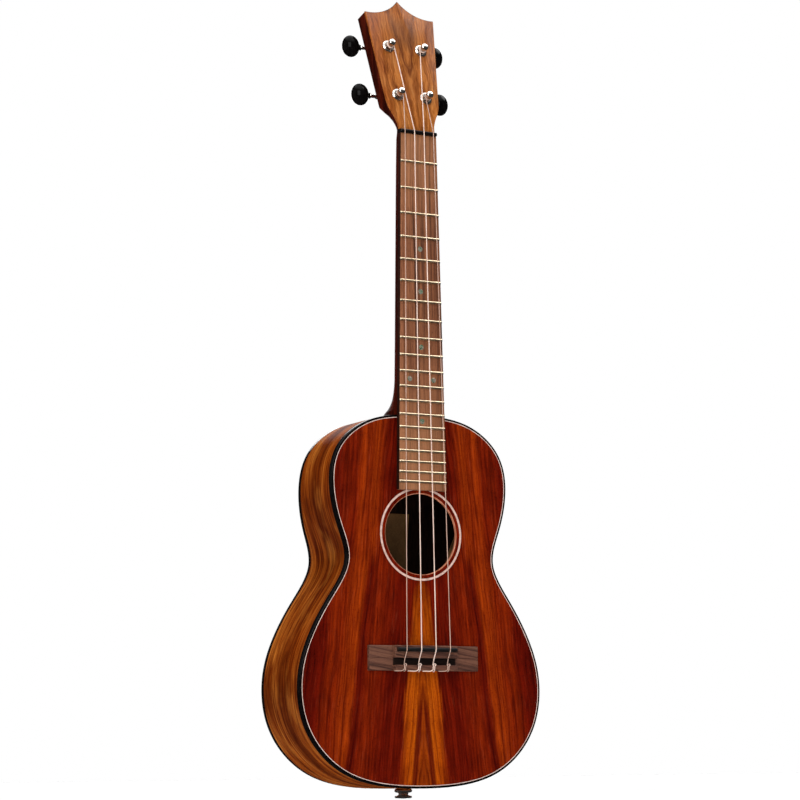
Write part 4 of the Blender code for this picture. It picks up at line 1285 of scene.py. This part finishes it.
def rounded_plate(half_x, low_y, high_y, corner, low, high):
    """A plate with round corners."""
    points = []
    right, top, bottom = half_x - corner, high_y - corner, low_y + corner
    for quarter, (x, y) in enumerate(((right, top), (-right, top), (-right, bottom), (right, bottom))):
        for step in range(7):
            a = math.radians(90 * quarter + 15 * step)
            points.append((x + corner * math.cos(a), y + corner * math.sin(a)))
    return extruded(points, low, high)


def build_tuner_body(number, place):
    """Stamped back plate with two ears, its mounting screws, and the front bushing."""
    back = -HEAD_THICKNESS - 0.05
    plate = back - 1.3
    body = solid(f"tuner_case_{number}", rounded_plate(7, -5.5, 11.5, 1.6, plate, back), place)
    ear_x, ear_half, ear_reach, ear_top = 5.75, 0.85, 2.9, WORM_LEVEL - 3
    for x in (-ear_x, ear_x):
        ear = box((x - ear_half, WORM_OFFSET - ear_reach, ear_top),
                  (x + ear_half, WORM_OFFSET + ear_reach, plate + 0.5))
        cut(body, ear, place, "UNION")
    rounded(body, 0.25, 2)
    bore, barrel = BARREL
    bushing = [(barrel, plate + 0.4), (barrel, 0.05), (5.5, 0.05), (5.6, 0.3), (5.6, 0.75), (5.4, 1.1),
               (4.9, 1.35), (4.5, 1.5), (4.3, 1.75), (3.6, 1.8)]
    cut(body, turned(bushing), place, "UNION")
    cut(body, turned([(bore, plate - 5), (bore, 10)]), place)
    across = Matrix.Translation((0, WORM_OFFSET, WORM_LEVEL)) @ Matrix.Rotation(QUARTER_TURN, 4, "Y")
    shaft_hole = SHAFT_RADIUS + 0.15
    cut(body, turned([(shaft_hole, -12), (shaft_hole, 12)], 32), place @ across)
    settle(body, "nickel", [f"tuner_body_{number}"])
    head = [(1.75, 0.05), (1.75, -0.25), (1.5, -0.65), (0.9, -0.9), (0.2, -0.95)]
    for index, x in enumerate((-4.6, 4.6)):
        screw_place = place @ Matrix.Translation((x, -3.4, plate))
        screw = solid(f"tuner_screw_{number}_{index + 1}", turned(head, 28), screw_place)
        first_slot = 0.4 + index
        for turn in (first_slot, first_slot + QUARTER_TURN):
            slot = box((-1, -0.17, -1.3), (1, 0.17, -0.55))
            cut(screw, slot, screw_place @ Matrix.Rotation(turn, 4, "Z"))
        settle(screw, "nickel", [])


def build_tuners():
    for number, (side, x, along) in POSTS.items():
        place = post_frame(side, x, along)
        build_tuner_body(number, place)
        build_post(number, place)
        build_button(number, place @ Matrix.Translation((0, WORM_OFFSET, WORM_LEVEL)), side)


# ---------------- kept CAD nodes

def dress_kept_nodes():
    """The parts inside the body keep their CAD shape and get a finish."""
    for finish, nodes in (("spruce", "top_lining back_lining brace_upper brace_lower back_brace"),
                          ("inner_mahogany", "neck_block tail_block bridge_plate"), ("paper", "label")):
        for node in nodes.split():
            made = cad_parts[node]
            made.data.materials.clear()
            made.data.materials.append(finish_of(finish))


# ---------------- stage, lights and camera

def build_stage():
    """A plain pale floor, a little below the hung instrument."""
    low = cad_box[0].z / MM - 60
    reach = 30000
    bm = bmesh.new()
    corners = ((-reach, -reach), (reach, -reach), (reach, reach), (-reach, reach))
    bm.faces.new([bm.verts.new((x, y, low)) for x, y in corners])
    floor = solid("floor", bm)
    s = Surface("floor_paint", 0.9, 0)
    s.set("Base Color", s.ramp(s.cloud(0.002, 2), (0.3, 243.4, 243.4, 243.4), (0.7, 247, 247, 247)))
    floor.data.materials.append(s.material)
    floor.visible_glossy = False


def build_lights():
    """Four soft boxes, and a dome that is white to the camera and bright only overhead."""
    centre = (cad_box[0] + cad_box[1]) / 2
    distance = 2.4
    for name, direction, size, power in (
            ("key", (-0.62, -0.66, 0.42), (1.5, 1.5), 42),
            ("overhead", (0.55, -0.12, 0.85), (1.4, 1), 26),
            ("rim", (-0.85, 0.45, 0.30), (2, 2), 2.5),
            ("back", (0.45, 0.78, 0.35), (1.8, 1.8), 40)):
        light = bpy.data.lights.new(name, "AREA")
        light.shape = "RECTANGLE"
        light.size, light.size_y = size
        light.energy = power
        made = bpy.data.objects.new(name, light)
        away = Vector(direction).normalized()
        made.location = centre + away * distance
        made.rotation_mode = "QUATERNION"
        made.rotation_quaternion = away.to_track_quat("Z", "Y")
        bpy.context.scene.collection.objects.link(made)
    world = bpy.data.worlds.new("studio")
    bpy.context.scene.world = world
    world.use_nodes = True
    tree = world.node_tree
    dome = tree.nodes["Background"]
    seen, path, choice, split, fade, spot = [tree.nodes.new("ShaderNode" + kind) for kind in (
        "Background", "LightPath", "MixShader", "SeparateXYZ", "MapRange", "TexCoord")]
    dome.inputs["Color"].default_value = seen.inputs["Color"].default_value = (1, 1, 1, 1)
    fade.interpolation_type = "SMOOTHSTEP"
    for name, value in (("From Min", 0.60), ("From Max", 0.90), ("To Min", 0.04), ("To Max", 2.5)):
        fade.inputs[name].default_value = value
    for source, output, target, socket in (
            (spot, "Generated", split, 0), (split, "Z", fade, "Value"), (fade, "Result", dome, "Strength"),
            (path, "Is Camera Ray", choice, 0), (dome, 0, choice, 1), (seen, 0, choice, 2),
            (choice, 0, tree.nodes["World Output"], "Surface")):
        tree.links.new(source.outputs[output], target.inputs[socket])


def build_camera():
    """From the front left, a little below the middle, looking slightly up."""
    data = bpy.data.cameras.new("camera")
    data.sensor_width = 36
    data.lens = 114.466
    data.shift_x = 0.0133
    data.shift_y = 0.0527
    data.clip_start = 0.05
    data.clip_end = 100
    camera = bpy.data.objects.new("camera", data)
    yaw, pitch, roll = 0.5101, 0.1289, -0.0112
    turn = Matrix.Rotation(-yaw, 4, "Z") @ Matrix.Rotation(QUARTER_TURN + pitch, 4, "X")
    turn = turn @ Matrix.Rotation(roll, 4, "Z")
    camera.matrix_world = Matrix.Translation((-1.0491, -1.8231, -0.5341)) @ turn
    bpy.context.scene.collection.objects.link(camera)
    bpy.context.scene.camera = camera
    bpy.context.scene.view_settings.view_transform = "Standard"


for build in (build_camera, build_stage, build_lights, build_top, build_rosette, build_trim, build_sides,
              build_back, build_end_pin, build_neck, build_fretboard, build_frets, build_dots, build_nut,
              build_bridge, build_saddle, build_strings, build_tuners, dress_kept_nodes):
    build()
